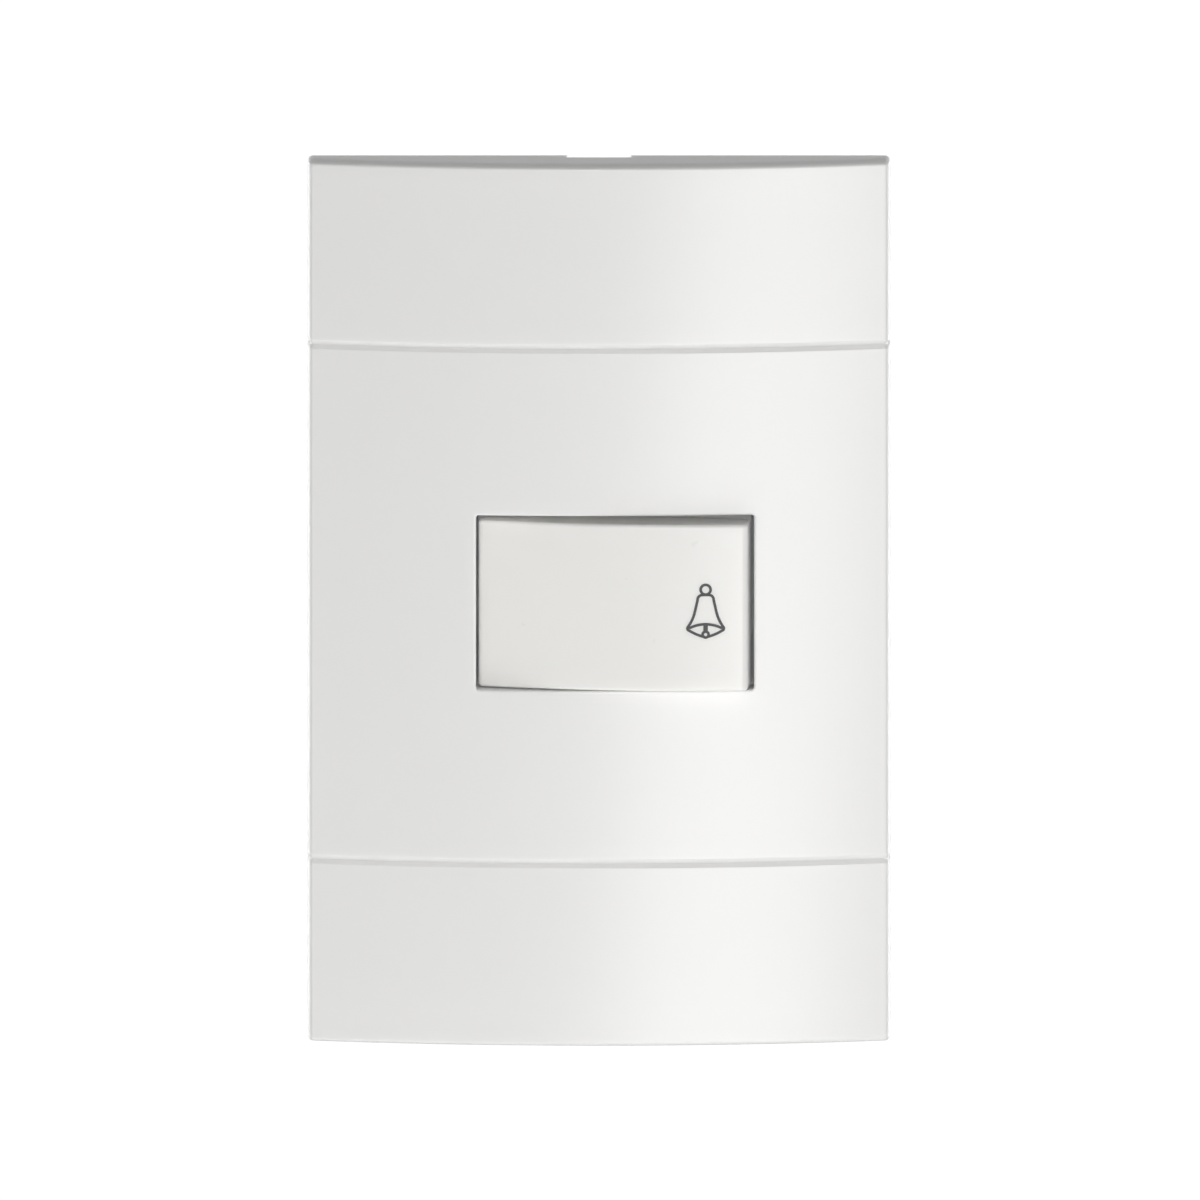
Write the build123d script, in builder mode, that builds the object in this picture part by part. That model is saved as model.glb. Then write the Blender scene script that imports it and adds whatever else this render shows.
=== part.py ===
from build123d import *
import os
from math import cos, pi, radians, sin, sqrt, tan

# Bell push for a wall box: a bowed plate, a rocker key with a bell mark, and the push mechanism behind it.
# The wall is the plane Y = 0, the front faces -Y, X is to the right and Z is up.
# The origin is the middle of the plate, on the wall. Lengths are millimetres and angles are degrees.
# "out" is a distance out of the wall, so Y = -out. Where it is negative, the place is inside the wall box.

os.makedirs("parts", exist_ok=True)

# Plate
plate_width = 78.0
plate_height = 120.0
plate_rim_depth = 3.8
plate_bow = 4.0
plate_wall = 2.0
plate_corner_radius = 0.8
plate_edge_radius = 0.5
groove_to_screw = 6.75
groove_width = 1.2
groove_depth = 0.5
groove_side_depth = 0.3
pry_notch_width = 8.6
pry_notch_depth = 1.5

# Window in the plate, and the gaps that it leaves round the key
window_width = 37.3
window_height = 23.8
window_corner_radius = 0.4
window_from_middle = 2.1
collar_wall = 1.2
collar_gap = 0.4
key_side_gap = 0.55
key_top_gap = 1.0
key_bottom_gap = 0.2

# Ribs and pegs inside the plate
rib_thickness = 1.0
rib_length = 60.0
rib_gap = 0.3
peg_radius = 1.95
peg_tip_out = 0.4
peg_slot_width = 0.8
peg_slot_depth = 2.4
peg_from_frame_side = 13.0
peg_from_frame_end = 4.0

# Key
key_proud = 0.8
key_face_radius = 110.0
key_face_wall = 1.4
key_side_wall = 1.3
key_end_radius = 0.9
key_edge_radius = 0.45
key_base_gap = 0.2
rest_tilt = 6.0
press_tilt = 3.0
pivot_out = 4.4
hook_from_pivot = 9.0
hook_length = 3.0
hook_wall = 0.8
hook_nib = 0.6
hook_gap = 0.1

# Bell mark, let into the key's face
mark_from_pivot = 12.6
mark_depth = 0.25
mark_stroke = 0.38
bell_ring_rise = 0.11
bell_ring_radius = 0.65
bell_crown_height = 1.88
bell_crown_half_width = 0.5
bell_shoulder_height = 1.15
bell_shoulder_half_width = 1.12
bell_waist_height = -0.64
bell_waist_half_width = 1.55
bell_lip_height = -2.75
bell_lip_half_width = 2.45
bell_lip_drop = 0.95
bell_mouth_height = -2.6
bell_mouth_half_width = 2.05
bell_mouth_rise = 0.45
bell_clapper_height = -3.55
bell_clapper_radius = 0.44

# Support behind the plate
frame_side_gap = 2.0
frame_end_gap = 4.0
frame_thickness = 2.0
frame_corner_radius = 3.0
bay_width = 34.5
bay_corner_radius = 0.8
rail_thickness = 0.8
rail_rim_width = 1.4
rail_rim_height = 1.0
rail_rim_from_middle = 16.0
socket_wall = 1.5
socket_height = 1.6
peg_clearance = 0.05
screw_spacing = 83.5
screw_boss_radius = 6.0
screw_boss_height = 0.6
screw_slot_length = 9.0
screw_slot_width = 4.2

# Box screws
box_screw_radius = 1.75
box_screw_neck_radius = 1.5
box_screw_head_radius = 3.5
box_screw_head_height = 1.9
box_screw_head_rounding = 1.1
box_screw_reach = 22.0
box_screw_tip_chamfer = 0.5
box_screw_recess_length = 3.8
box_screw_recess_width = 0.9
box_screw_recess_depth = 1.0

# Mechanism case
flange_overlap = 1.05
flange_cover = 0.3
flange_thickness = 1.0
flange_clearance = 0.15
case_clearance = 0.75
case_height = 21.0
case_depth = 20.0
case_wall = 1.5
case_floor = 2.0
case_corner_radius = 1.0
spigot_wall = 1.0
spigot_height = 1.0
spigot_clearance = 0.1
clip_length = 7.0
clip_reach = 1.3
clip_drop = 2.6
clip_gap = 0.1
clip_slit = 0.6
clip_seat_depth = 0.3
clip_seat_width = 1.5
clip_seat_end_gap = 0.5
ear_gap = 0.3
ear_key_gap = 0.4
ear_thickness = 1.3
ear_wall = 0.65
axle_end_gap = 0.1
axle_radius = 1.2
axle_clearance = 0.05

# Screws that join the case and its front
case_screw_from_pivot = -1.5
case_screw_from_middle = 5.0
case_screw_radius = 1.0
case_screw_head_radius = 1.9
case_screw_fit = 0.02
case_screw_length = 9.0
case_screw_hole_gap = 0.05
case_screw_recess_length = 2.0
case_screw_recess_width = 0.45
case_screw_recess_depth = 0.8
case_boss_radius = 2.3

# Rocker carrier
carrier_half_length = 13.5
carrier_base_rise = 0.8
carrier_hub_radius = 2.0
carrier_face_gap = 0.05
foot_from_case_wall = 4.0
foot_radius = 1.2
foot_half_height = 2.0
foot_gap = 0.05
foot_slot_clearance = 0.5

# Plunger and its springs
plunger_width = 6.4
plunger_height = 4.6
plunger_play = 0.15
plunger_stop_gap = 0.05
plunger_head = 3.2
plunger_window_width = 3.4
plunger_window_height = 4.3
plunger_base = 1.6
plunger_nose_gap = 0.325
plunger_nose_length = 2.4
spring_spigot_gap = 0.225
spring_spigot_height = 1.2
guide_wall = 1.2
guide_top_gap = 2.3
return_wire = 0.45
return_spring_side_gap = 0.175
return_spring_turns = 7.0
contact_wire = 0.35
contact_spring_radius = 1.15
contact_spring_turns = 4.0
spring_seat_gap = 0.05
coil_points_per_turn = 24

# Contacts
bridge_width = 2.4
bridge_thickness = 0.6
bridge_half_length = 7.2
contact_from_middle = 6.0
contact_tip_radius = 1.1
moving_tip_height = 0.6
fixed_tip_height = 0.5
contact_gap_left = 0.06
strip_thickness = 0.8
strip_width = 3.4
tongue_width = 3.6
tongue_inner_edge = 4.4
strip_wall_gap = 0.1
strip_tail_gap = 1.0
post_width = 2.6

# Wire terminals
terminal_from_case_end = 7.0
terminal_length = 7.0
terminal_height = 6.2
terminal_depth = 9.0
terminal_wall = 1.5
terminal_side_wall = 1.4
terminal_stop_wall = 1.0
terminal_stop_height = 6.0
terminal_fit = 0.1
pad_thickness = 0.8
pad_depth = 7.0
pad_corner_radius = 0.4
pad_play = 0.1
pad_tip_gap = 0.05
clamp_travel = 2.0
clamp_screw_radius = 1.5
clamp_screw_clearance = 0.05
clamp_head_radius = 2.3
clamp_head_height = 1.2
clamp_head_clearance = 0.5
clamp_slot_width = 0.9
clamp_slot_depth = 0.6
wire_entry_radius = 1.5
wire_entry_chamfer = 0.5

# How far a cut runs past the face that it starts from or comes out of
cut_margin = 1.0

# Places worked out from the sizes
plate_crown_out = plate_rim_depth + plate_bow
bow_radius = ((plate_width / 2) ** 2 + plate_bow**2) / (2 * plate_bow)
bow_axis_out = plate_crown_out - bow_radius
groove_from_middle = screw_spacing / 2 - groove_to_screw
window_up = (key_top_gap - key_bottom_gap) / 2
module_x = window_from_middle

frame_width = plate_width - 2 * plate_wall - 2 * frame_side_gap
frame_height = plate_height - 2 * plate_wall - 2 * frame_end_gap
bay_height = 2 * groove_from_middle
peg_spacing_x = frame_width - 2 * peg_from_frame_side
peg_spacing_z = frame_height - 2 * peg_from_frame_end

flange_width = bay_width + 2 * flange_overlap
flange_height = window_height + 2 * flange_cover
front_out = rail_thickness + flange_thickness
key_width = window_width - 2 * key_side_gap
key_height = window_height - key_top_gap - key_bottom_gap
key_crown_out = plate_crown_out + key_proud
key_base_out = front_out + key_base_gap
key_inside_height = key_height / 2 - key_side_wall
bell_ring_height = bell_crown_height + bell_ring_radius + bell_ring_rise

case_width = bay_width - 2 * case_clearance
case_inside_width = case_width - 2 * case_wall
case_inside_height = case_height - 2 * case_wall
case_back_out = -case_depth
floor_out = case_back_out + case_floor
case_left = module_x - case_width / 2
ear_outer_height = key_inside_height - ear_key_gap
ear_inner_height = ear_outer_height - ear_thickness
carrier_half_height = ear_inner_height - ear_gap

plunger_top_out = rail_thickness - plunger_stop_gap
foot_from_pivot = case_inside_width / 2 - foot_from_case_wall
foot_rise_at_rest = foot_from_pivot * sin(radians(rest_tilt))
foot_centre_rest_out = plunger_top_out + foot_gap + foot_radius
foot_drop = (pivot_out + foot_rise_at_rest - foot_centre_rest_out) / cos(radians(rest_tilt))
foot_rest_out = foot_rise_at_rest - foot_drop * cos(radians(rest_tilt))
foot_press_out = -foot_from_pivot * sin(radians(press_tilt)) - foot_drop * cos(radians(press_tilt))
plunger_travel = foot_rest_out - foot_press_out
foot_rest_x = foot_from_pivot * cos(radians(rest_tilt)) + foot_drop * sin(radians(rest_tilt))
foot_press_x = foot_from_pivot * cos(radians(press_tilt)) - foot_drop * sin(radians(press_tilt))
plunger_x = module_x + (foot_rest_x + foot_press_x) / 2
foot_slot_width = foot_rest_x - foot_press_x + 2 * foot_radius + 2 * foot_slot_clearance

return_spring_radius = plunger_height / 2 + plunger_play - return_spring_side_gap - return_wire / 2
plunger_nose_radius = return_spring_radius - return_wire / 2 - plunger_nose_gap
window_top_out = plunger_top_out - plunger_head
bridge_seat_out = window_top_out - plunger_window_height
plunger_base_out = bridge_seat_out - plunger_base
moving_tip_out = bridge_seat_out - moving_tip_height
fixed_tip_out = moving_tip_out - plunger_travel - contact_gap_left
tongue_out = fixed_tip_out - fixed_tip_height

strip_inner_z = case_inside_height / 2 - strip_wall_gap - strip_thickness
terminal_x = case_left + terminal_from_case_end
terminal_z = strip_inner_z - terminal_height / 2
chamber_length = terminal_length - 2 * terminal_wall
chamber_height = terminal_height - 2 * terminal_side_wall
chamber_left = terminal_x - chamber_length / 2
pad_left = chamber_left + pad_play
wire_entry_x = (pad_left + pad_thickness + chamber_left + chamber_length) / 2
clamp_out = floor_out + terminal_depth / 2
clamp_head_x = terminal_x - terminal_length / 2 - clamp_travel - pad_play

box_screw_spots = [(0, -screw_spacing / 2), (0, screw_spacing / 2)]
case_screw_spots = [
    (module_x + case_screw_from_pivot, -case_screw_from_middle),
    (module_x + case_screw_from_pivot, case_screw_from_middle),
]


def wall_plane(out):
    """Plane along the wall, this far out of it: X to the right, Y up, and its normal out of the wall."""
    return Plane(origin=(0, -out, 0), x_dir=(1, 0, 0), z_dir=(0, -1, 0))


def level_plane(height):
    """Level plane at this height: X to the right and Y out of the wall."""
    return Plane(origin=(0, 0, height), x_dir=(1, 0, 0), z_dir=(0, 0, -1))


def side_plane(x):
    """Upright plane across the plate at this X: X out of the wall, Y up, and its normal to the left."""
    return Plane(origin=(x, 0, 0), x_dir=(0, -1, 0), z_dir=(-1, 0, 0))


# Planes of the key at its rest tilt, both with the pivot as origin: one level with Y out of the key's
# face, and one along the face with Y up
tilt = radians(rest_tilt)
pivot_point = (module_x, -pivot_out, 0)
key_level = Plane(origin=pivot_point, x_dir=(cos(tilt), -sin(tilt), 0), z_dir=(0, 0, -1))
key_face = Plane(origin=pivot_point, x_dir=(cos(tilt), -sin(tilt), 0), z_dir=(-sin(tilt), -cos(tilt), 0))


def arc_height(radius, crown, x):
    """Height at x of an arc of this radius whose crown stands at x = 0."""
    return crown - radius + sqrt(radius**2 - x**2)


# Space inside the plate: the hollow less its collar, ribs and pegs
with BuildPart() as plate_space:
    inside_half_width = plate_width / 2 - plate_wall
    inside_radius = bow_radius - plate_wall
    inside_crown_out = plate_crown_out - plate_wall
    inside_edge_out = arc_height(inside_radius, inside_crown_out, inside_half_width)
    with BuildSketch(level_plane(0)):
        with BuildLine():
            ThreePointArc(
                (-inside_half_width, inside_edge_out),
                (0, inside_crown_out),
                (inside_half_width, inside_edge_out),
            )
            Polyline(
                (inside_half_width, inside_edge_out),
                (inside_half_width, 0),
                (-inside_half_width, 0),
                (-inside_half_width, inside_edge_out),
            )
        make_face()
    extrude(amount=plate_height / 2 - plate_wall, both=True)
    with BuildSketch(wall_plane(frame_thickness + collar_gap)):
        with Locations((module_x, window_up)):
            RectangleRounded(
                window_width + 2 * collar_wall,
                window_height + 2 * collar_wall,
                window_corner_radius + collar_wall,
            )
    extrude(amount=plate_crown_out, mode=Mode.SUBTRACT)
    with BuildSketch(wall_plane(frame_thickness + rail_rim_height + rib_gap)):
        with Locations((0, -groove_from_middle), (0, groove_from_middle)):
            Rectangle(rib_length, rib_thickness)
    extrude(amount=plate_crown_out, mode=Mode.SUBTRACT)
    with BuildSketch(wall_plane(peg_tip_out)):
        with GridLocations(peg_spacing_x, peg_spacing_z, 2, 2):
            Circle(peg_radius)
    extrude(amount=plate_crown_out, mode=Mode.SUBTRACT)

# Plate: bowed about an upright axis, with two V grooves across it and the key's window
with BuildPart() as cover_plate:
    with BuildSketch(level_plane(0)):
        with BuildLine():
            ThreePointArc(
                (-plate_width / 2, plate_rim_depth),
                (0, plate_crown_out),
                (plate_width / 2, plate_rim_depth),
            )
            Polyline(
                (plate_width / 2, plate_rim_depth),
                (plate_width / 2, 0),
                (-plate_width / 2, 0),
                (-plate_width / 2, plate_rim_depth),
            )
        make_face()
    extrude(amount=plate_height / 2, both=True)
    fillet(cover_plate.edges().filter_by(Axis.Y), plate_corner_radius)
    front_face = cover_plate.faces().sort_by(Axis.Y)[0]
    fillet(front_face.edges(), plate_edge_radius)
    add(plate_space.part, mode=Mode.SUBTRACT)
    with BuildSketch(wall_plane(0)):
        with Locations((module_x, window_up)):
            RectangleRounded(window_width, window_height, window_corner_radius)
    extrude(amount=plate_crown_out, mode=Mode.SUBTRACT)
    with BuildSketch(side_plane(0)):
        for height in (-groove_from_middle, groove_from_middle):
            with BuildLine():
                Polyline(
                    (plate_crown_out + groove_depth, height - groove_width),
                    (plate_crown_out + groove_depth, height + groove_width),
                    (plate_crown_out - groove_depth, height),
                    close=True,
                )
            make_face()
    revolve(axis=Axis((0, -bow_axis_out, 0), (0, 0, 1)), mode=Mode.SUBTRACT)
    with BuildSketch(wall_plane(0)):
        for side in (-1, 1):
            edge = side * plate_width / 2
            side_depth = side * groove_side_depth
            spread = groove_width * groove_side_depth / groove_depth
            for height in (-groove_from_middle, groove_from_middle):
                with BuildLine():
                    Polyline(
                        (edge + side_depth, height - spread),
                        (edge + side_depth, height + spread),
                        (edge - side_depth, height),
                        close=True,
                    )
                make_face()
    extrude(amount=plate_crown_out, mode=Mode.SUBTRACT)
    with BuildSketch(wall_plane(0)):
        with Locations((0, plate_height / 2)):
            Rectangle(pry_notch_width, 2 * (plate_wall + cut_margin))
    extrude(amount=pry_notch_depth, mode=Mode.SUBTRACT)
    with BuildSketch(wall_plane(peg_tip_out)):
        with GridLocations(peg_spacing_x, peg_spacing_z, 2, 2):
            Rectangle(peg_slot_width, 2 * (peg_radius + cut_margin))
    extrude(amount=peg_slot_depth, mode=Mode.SUBTRACT)
cover_plate.part.label = "cover_plate"
export_step(cover_plate.part, "parts/cover_plate.step")

# Support: a flat plate with a long bay for the mechanism, sockets for the pegs and slots for the box screws
with BuildPart() as mounting_frame:
    with BuildSketch(wall_plane(0)):
        RectangleRounded(frame_width, frame_height, frame_corner_radius)
    extrude(amount=frame_thickness)
    with BuildSketch(wall_plane(frame_thickness)):
        with Locations((module_x, 0)):
            RectangleRounded(
                flange_width + 2 * flange_clearance + 2 * rail_rim_width,
                bay_height + 2 * rail_rim_width,
                bay_corner_radius + rail_rim_width,
            )
            Rectangle(frame_width, 2 * rail_rim_from_middle, mode=Mode.SUBTRACT)
    extrude(amount=rail_rim_height)
    with BuildSketch(wall_plane(frame_thickness)):
        with Locations(*box_screw_spots):
            Circle(screw_boss_radius)
    extrude(amount=screw_boss_height)
    with BuildSketch(wall_plane(frame_thickness)):
        with GridLocations(peg_spacing_x, peg_spacing_z, 2, 2):
            Circle(peg_radius + peg_clearance + socket_wall)
    extrude(amount=socket_height)
    with BuildSketch(wall_plane(0)):
        with Locations((module_x, 0)):
            RectangleRounded(bay_width, bay_height, bay_corner_radius)
        with Locations(*box_screw_spots):
            SlotOverall(screw_slot_length, screw_slot_width)
        with GridLocations(peg_spacing_x, peg_spacing_z, 2, 2):
            Circle(peg_radius + peg_clearance)
    extrude(amount=plate_crown_out, mode=Mode.SUBTRACT)
    with BuildSketch(wall_plane(rail_thickness)):
        with Locations((module_x, 0)):
            RectangleRounded(flange_width + 2 * flange_clearance, bay_height, bay_corner_radius)
    extrude(amount=plate_crown_out, mode=Mode.SUBTRACT)
    with BuildSketch(wall_plane(0)):
        with Locations((module_x, 0)):
            Rectangle(bay_width + 2 * clip_seat_width, clip_length + 2 * clip_seat_end_gap)
    extrude(amount=clip_seat_depth, mode=Mode.SUBTRACT)
mounting_frame.part.label = "mounting_frame"
export_step(mounting_frame.part, "parts/mounting_frame.step")

# Two pan head screws that hold the support to the wall box, each with a plain neck where it crosses the slot
with BuildPart() as box_screws:
    head_seat_out = frame_thickness + screw_boss_height
    with BuildSketch(wall_plane(head_seat_out)):
        with Locations(*box_screw_spots):
            Circle(box_screw_head_radius)
    extrude(amount=box_screw_head_height)
    head_rims = box_screws.edges().filter_by(GeomType.CIRCLE).group_by(Axis.Y)[0]
    fillet(head_rims, box_screw_head_rounding)
    with BuildSketch(wall_plane(head_seat_out)):
        with Locations(*box_screw_spots):
            Circle(box_screw_neck_radius)
    extrude(amount=-head_seat_out)
    with BuildSketch(wall_plane(0)):
        with Locations(*box_screw_spots):
            Circle(box_screw_radius)
    extrude(amount=-box_screw_reach)
    tip_rims = box_screws.edges().filter_by(GeomType.CIRCLE).group_by(Axis.Y)[-1]
    chamfer(tip_rims, box_screw_tip_chamfer)
    with BuildSketch(wall_plane(head_seat_out + box_screw_head_height)):
        with Locations(*box_screw_spots):
            Rectangle(box_screw_recess_length, box_screw_recess_width)
            Rectangle(box_screw_recess_width, box_screw_recess_length)
    extrude(amount=-box_screw_recess_depth, mode=Mode.SUBTRACT)
box_screws.part.label = "box_screws"
export_step(box_screws.part, "parts/box_screws.step")

# Front of the mechanism case: a flange that seats on the support's rails, and two ears for the key's axle
with BuildPart() as case_front:
    with BuildSketch(wall_plane(rail_thickness)):
        with Locations((module_x, window_up)):
            RectangleRounded(flange_width, flange_height, case_corner_radius)
    extrude(amount=flange_thickness)
    spigot_width = case_inside_width - 2 * spigot_clearance
    spigot_length = case_inside_height - 2 * spigot_clearance
    with BuildSketch(wall_plane(rail_thickness)):
        with Locations((module_x, 0)):
            Rectangle(spigot_width, spigot_length)
            Rectangle(spigot_width - 2 * spigot_wall, spigot_length - 2 * spigot_wall, mode=Mode.SUBTRACT)
    extrude(amount=-spigot_height)
    ear_radius = axle_radius + axle_clearance + ear_wall
    for side in (-1, 1):
        ear_middle = side * (ear_inner_height + ear_outer_height) / 2
        with BuildSketch(level_plane(ear_middle)):
            with Locations((module_x, pivot_out)):
                Circle(ear_radius)
            with Locations((module_x, (pivot_out + front_out) / 2)):
                Rectangle(2 * ear_radius, pivot_out - front_out)
        extrude(amount=ear_thickness / 2, both=True)
    with BuildSketch(level_plane(0)):
        with Locations((module_x, pivot_out)):
            Circle(axle_radius + axle_clearance)
    extrude(amount=ear_outer_height, both=True, mode=Mode.SUBTRACT)
    foot_slot_length = 2 * (foot_half_height + foot_slot_clearance)
    with BuildSketch(wall_plane(front_out)):
        with Locations((plunger_x, 0)):
            RectangleRounded(foot_slot_width, foot_slot_length, foot_slot_clearance)
    extrude(amount=-(flange_thickness + spigot_height), mode=Mode.SUBTRACT)
    with BuildSketch(wall_plane(rail_thickness)):
        with Locations((plunger_x, 0)):
            Rectangle(plunger_width + 2 * plunger_play, plunger_height + 2 * plunger_play)
    extrude(amount=-spigot_height, mode=Mode.SUBTRACT)
    with Locations(wall_plane(front_out)):
        with Locations(*case_screw_spots):
            CounterSinkHole(
                radius=case_screw_radius + case_screw_hole_gap,
                counter_sink_radius=case_screw_head_radius + case_screw_hole_gap,
                depth=flange_thickness + spigot_height,
                counter_sink_angle=90,
            )
case_front.part.label = "case_front"
export_step(case_front.part, "parts/case_front.step")

# Mechanism case: an open box with clips for the support, a guide for the plunger and seats for the brass
with BuildPart() as mechanism_case:
    with BuildSketch(wall_plane(case_back_out)):
        with Locations((module_x, 0)):
            RectangleRounded(case_width, case_height, case_corner_radius)
    extrude(amount=rail_thickness - case_back_out)
    with BuildSketch(wall_plane(floor_out)):
        with Locations((module_x, 0)):
            Rectangle(case_inside_width, case_inside_height)
    extrude(amount=rail_thickness - floor_out, mode=Mode.SUBTRACT)
    clip_top_out = clip_seat_depth - clip_gap
    for side in (-1, 1):
        clip_face = module_x + side * case_width / 2
        with BuildSketch(level_plane(0)):
            with BuildLine():
                Polyline(
                    (clip_face, clip_top_out),
                    (clip_face + side * clip_reach, clip_top_out),
                    (clip_face, clip_top_out - clip_drop),
                    close=True,
                )
            make_face()
        extrude(amount=clip_length / 2, both=True)
    with BuildSketch(wall_plane(floor_out)):
        with Locations((module_x, 0)):
            with GridLocations(case_width, clip_length + clip_slit, 2, 2):
                Rectangle(2 * case_wall + clip_slit, clip_slit)
    extrude(amount=rail_thickness - spigot_height - spigot_clearance - floor_out, mode=Mode.SUBTRACT)
    guide_half_width = plunger_width / 2 + plunger_play
    guide_half_height = plunger_height / 2 + plunger_play
    guide_left = plunger_x - guide_half_width - guide_wall
    guide_right = module_x + case_inside_width / 2
    guide_top_out = plunger_top_out - guide_top_gap
    with BuildSketch(wall_plane(floor_out)):
        with Locations(((guide_left + guide_right) / 2, 0)):
            Rectangle(guide_right - guide_left, 2 * (guide_half_height + guide_wall))
        with Locations((plunger_x, 0)):
            Rectangle(2 * guide_half_width, 2 * guide_half_height, mode=Mode.SUBTRACT)
            Rectangle(plunger_window_width, case_inside_height, mode=Mode.SUBTRACT)
    extrude(amount=guide_top_out - floor_out)
    with BuildSketch(wall_plane(floor_out)):
        with Locations((plunger_x, -contact_from_middle), (plunger_x, contact_from_middle)):
            Rectangle(post_width, post_width)
    extrude(amount=tongue_out - strip_thickness - floor_out)
    with BuildSketch(wall_plane(floor_out)):
        with Locations((plunger_x, 0)):
            Circle(return_spring_radius - return_wire / 2 - spring_spigot_gap)
    extrude(amount=spring_spigot_height)
    with BuildSketch(wall_plane(floor_out)):
        with Locations(*case_screw_spots):
            Circle(case_boss_radius)
    extrude(amount=rail_thickness - floor_out)
    with BuildSketch(wall_plane(rail_thickness)):
        with Locations(*case_screw_spots):
            Circle(case_screw_radius + case_screw_fit)
    extrude(amount=-(case_screw_length + flange_thickness), mode=Mode.SUBTRACT)
    seat_left = case_left + case_wall / 2
    seat_right = terminal_x - terminal_length / 2 - terminal_fit
    stop_left = terminal_x + terminal_length / 2 + terminal_fit
    with BuildSketch(wall_plane(floor_out)):
        with Locations((stop_left + terminal_stop_wall / 2, 0)):
            Rectangle(terminal_stop_wall, 2 * (strip_inner_z - strip_wall_gap))
        with Locations(((seat_left + stop_left) / 2, 0)):
            Rectangle(stop_left - seat_left, terminal_stop_wall)
    extrude(amount=terminal_stop_height)
    seat_middle = (seat_left + seat_right) / 2
    with BuildSketch(wall_plane(floor_out)):
        with Locations((seat_middle, -terminal_z), (seat_middle, terminal_z)):
            Rectangle(seat_right - seat_left, terminal_height)
    extrude(amount=clamp_out - clamp_head_radius - clamp_head_clearance - floor_out)
    with BuildSketch(side_plane(case_left)):
        with Locations((clamp_out, -terminal_z), (clamp_out, terminal_z)):
            Circle(clamp_head_radius + clamp_head_clearance)
    extrude(amount=case_wall, both=True, mode=Mode.SUBTRACT)
    with BuildSketch(wall_plane(case_back_out)):
        with Locations((wire_entry_x, -terminal_z), (wire_entry_x, terminal_z)):
            Circle(wire_entry_radius)
    extrude(amount=case_floor, mode=Mode.SUBTRACT)
    back_rims = mechanism_case.edges().filter_by(GeomType.CIRCLE).group_by(Axis.Y)[-1]
    chamfer([rim for rim in back_rims if rim.is_closed], wire_entry_chamfer)
mechanism_case.part.label = "mechanism_case"
export_step(mechanism_case.part, "parts/mechanism_case.step")

# Two countersunk screws that join the case and its front
with BuildPart() as case_screws:
    with Locations(wall_plane(front_out)):
        with Locations(*case_screw_spots):
            Cone(
                bottom_radius=case_screw_radius,
                top_radius=case_screw_head_radius,
                height=case_screw_head_radius - case_screw_radius,
                align=(Align.CENTER, Align.CENTER, Align.MAX),
            )
            Cylinder(
                radius=case_screw_radius,
                height=case_screw_length,
                align=(Align.CENTER, Align.CENTER, Align.MAX),
            )
    with BuildSketch(wall_plane(front_out)):
        with Locations(*case_screw_spots):
            Rectangle(case_screw_recess_length, case_screw_recess_width)
            Rectangle(case_screw_recess_width, case_screw_recess_length)
    extrude(amount=-case_screw_recess_depth, mode=Mode.SUBTRACT)
case_screws.part.label = "case_screws"
export_step(case_screws.part, "parts/case_screws.step")

# Lines of the bell mark, drawn along the key's face and carried out through it
with BuildPart() as bell_lines:
    with BuildSketch(key_face):
        for side in (-1, 1):
            with BuildLine():
                crown = Line(
                    (mark_from_pivot, bell_crown_height),
                    (mark_from_pivot + side * bell_crown_half_width, bell_crown_height),
                )
                shoulder = TangentArc(
                    crown @ 1,
                    (mark_from_pivot + side * bell_shoulder_half_width, bell_shoulder_height),
                    tangent=crown % 1,
                )
                flank = Line(
                    shoulder @ 1,
                    (mark_from_pivot + side * bell_waist_half_width, bell_waist_height),
                )
                TangentArc(
                    flank @ 1,
                    (mark_from_pivot + side * bell_lip_half_width, bell_lip_height),
                    tangent=flank % 1,
                )
            trace(line_width=mark_stroke)
        for half_width, height, sag in (
            (bell_lip_half_width, bell_lip_height, -bell_lip_drop),
            (bell_mouth_half_width, bell_mouth_height, bell_mouth_rise),
        ):
            with BuildLine():
                ThreePointArc(
                    (mark_from_pivot - half_width, height),
                    (mark_from_pivot, height + sag),
                    (mark_from_pivot + half_width, height),
                )
            trace(line_width=mark_stroke)
        with BuildLine():
            Line(
                (mark_from_pivot, bell_mouth_height + bell_mouth_rise),
                (mark_from_pivot, bell_clapper_height),
            )
        trace(line_width=mark_stroke)
        with Locations(
            (mark_from_pivot - bell_lip_half_width, bell_lip_height),
            (mark_from_pivot + bell_lip_half_width, bell_lip_height),
        ):
            Circle(mark_stroke / 2)
        for radius, height in (
            (bell_ring_radius, bell_ring_height),
            (bell_clapper_radius, bell_clapper_height),
        ):
            with Locations((mark_from_pivot, height)):
                Circle(radius + mark_stroke / 2)
                Circle(radius - mark_stroke / 2, mode=Mode.SUBTRACT)
    extrude(amount=key_crown_out)

# Bell mark: dark plastic let into the key's face, flush with it
with BuildPart() as bell_mark:
    crown_rise = key_crown_out - pivot_out
    end_rise = arc_height(key_face_radius, crown_rise, key_width / 2)
    floor_rise = crown_rise - mark_depth
    floor_end_rise = arc_height(key_face_radius - mark_depth, floor_rise, key_width / 2)
    with BuildSketch(key_level):
        with BuildLine():
            ThreePointArc((-key_width / 2, end_rise), (0, crown_rise), (key_width / 2, end_rise))
            Line((key_width / 2, end_rise), (key_width / 2, floor_end_rise))
            ThreePointArc((key_width / 2, floor_end_rise), (0, floor_rise), (-key_width / 2, floor_end_rise))
            Line((-key_width / 2, floor_end_rise), (-key_width / 2, end_rise))
        make_face()
    extrude(amount=key_height / 2, both=True)
    add(bell_lines.part, mode=Mode.INTERSECT)
bell_mark.part.label = "bell_mark"
export_step(bell_mark.part, "parts/bell_mark.step")

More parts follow.
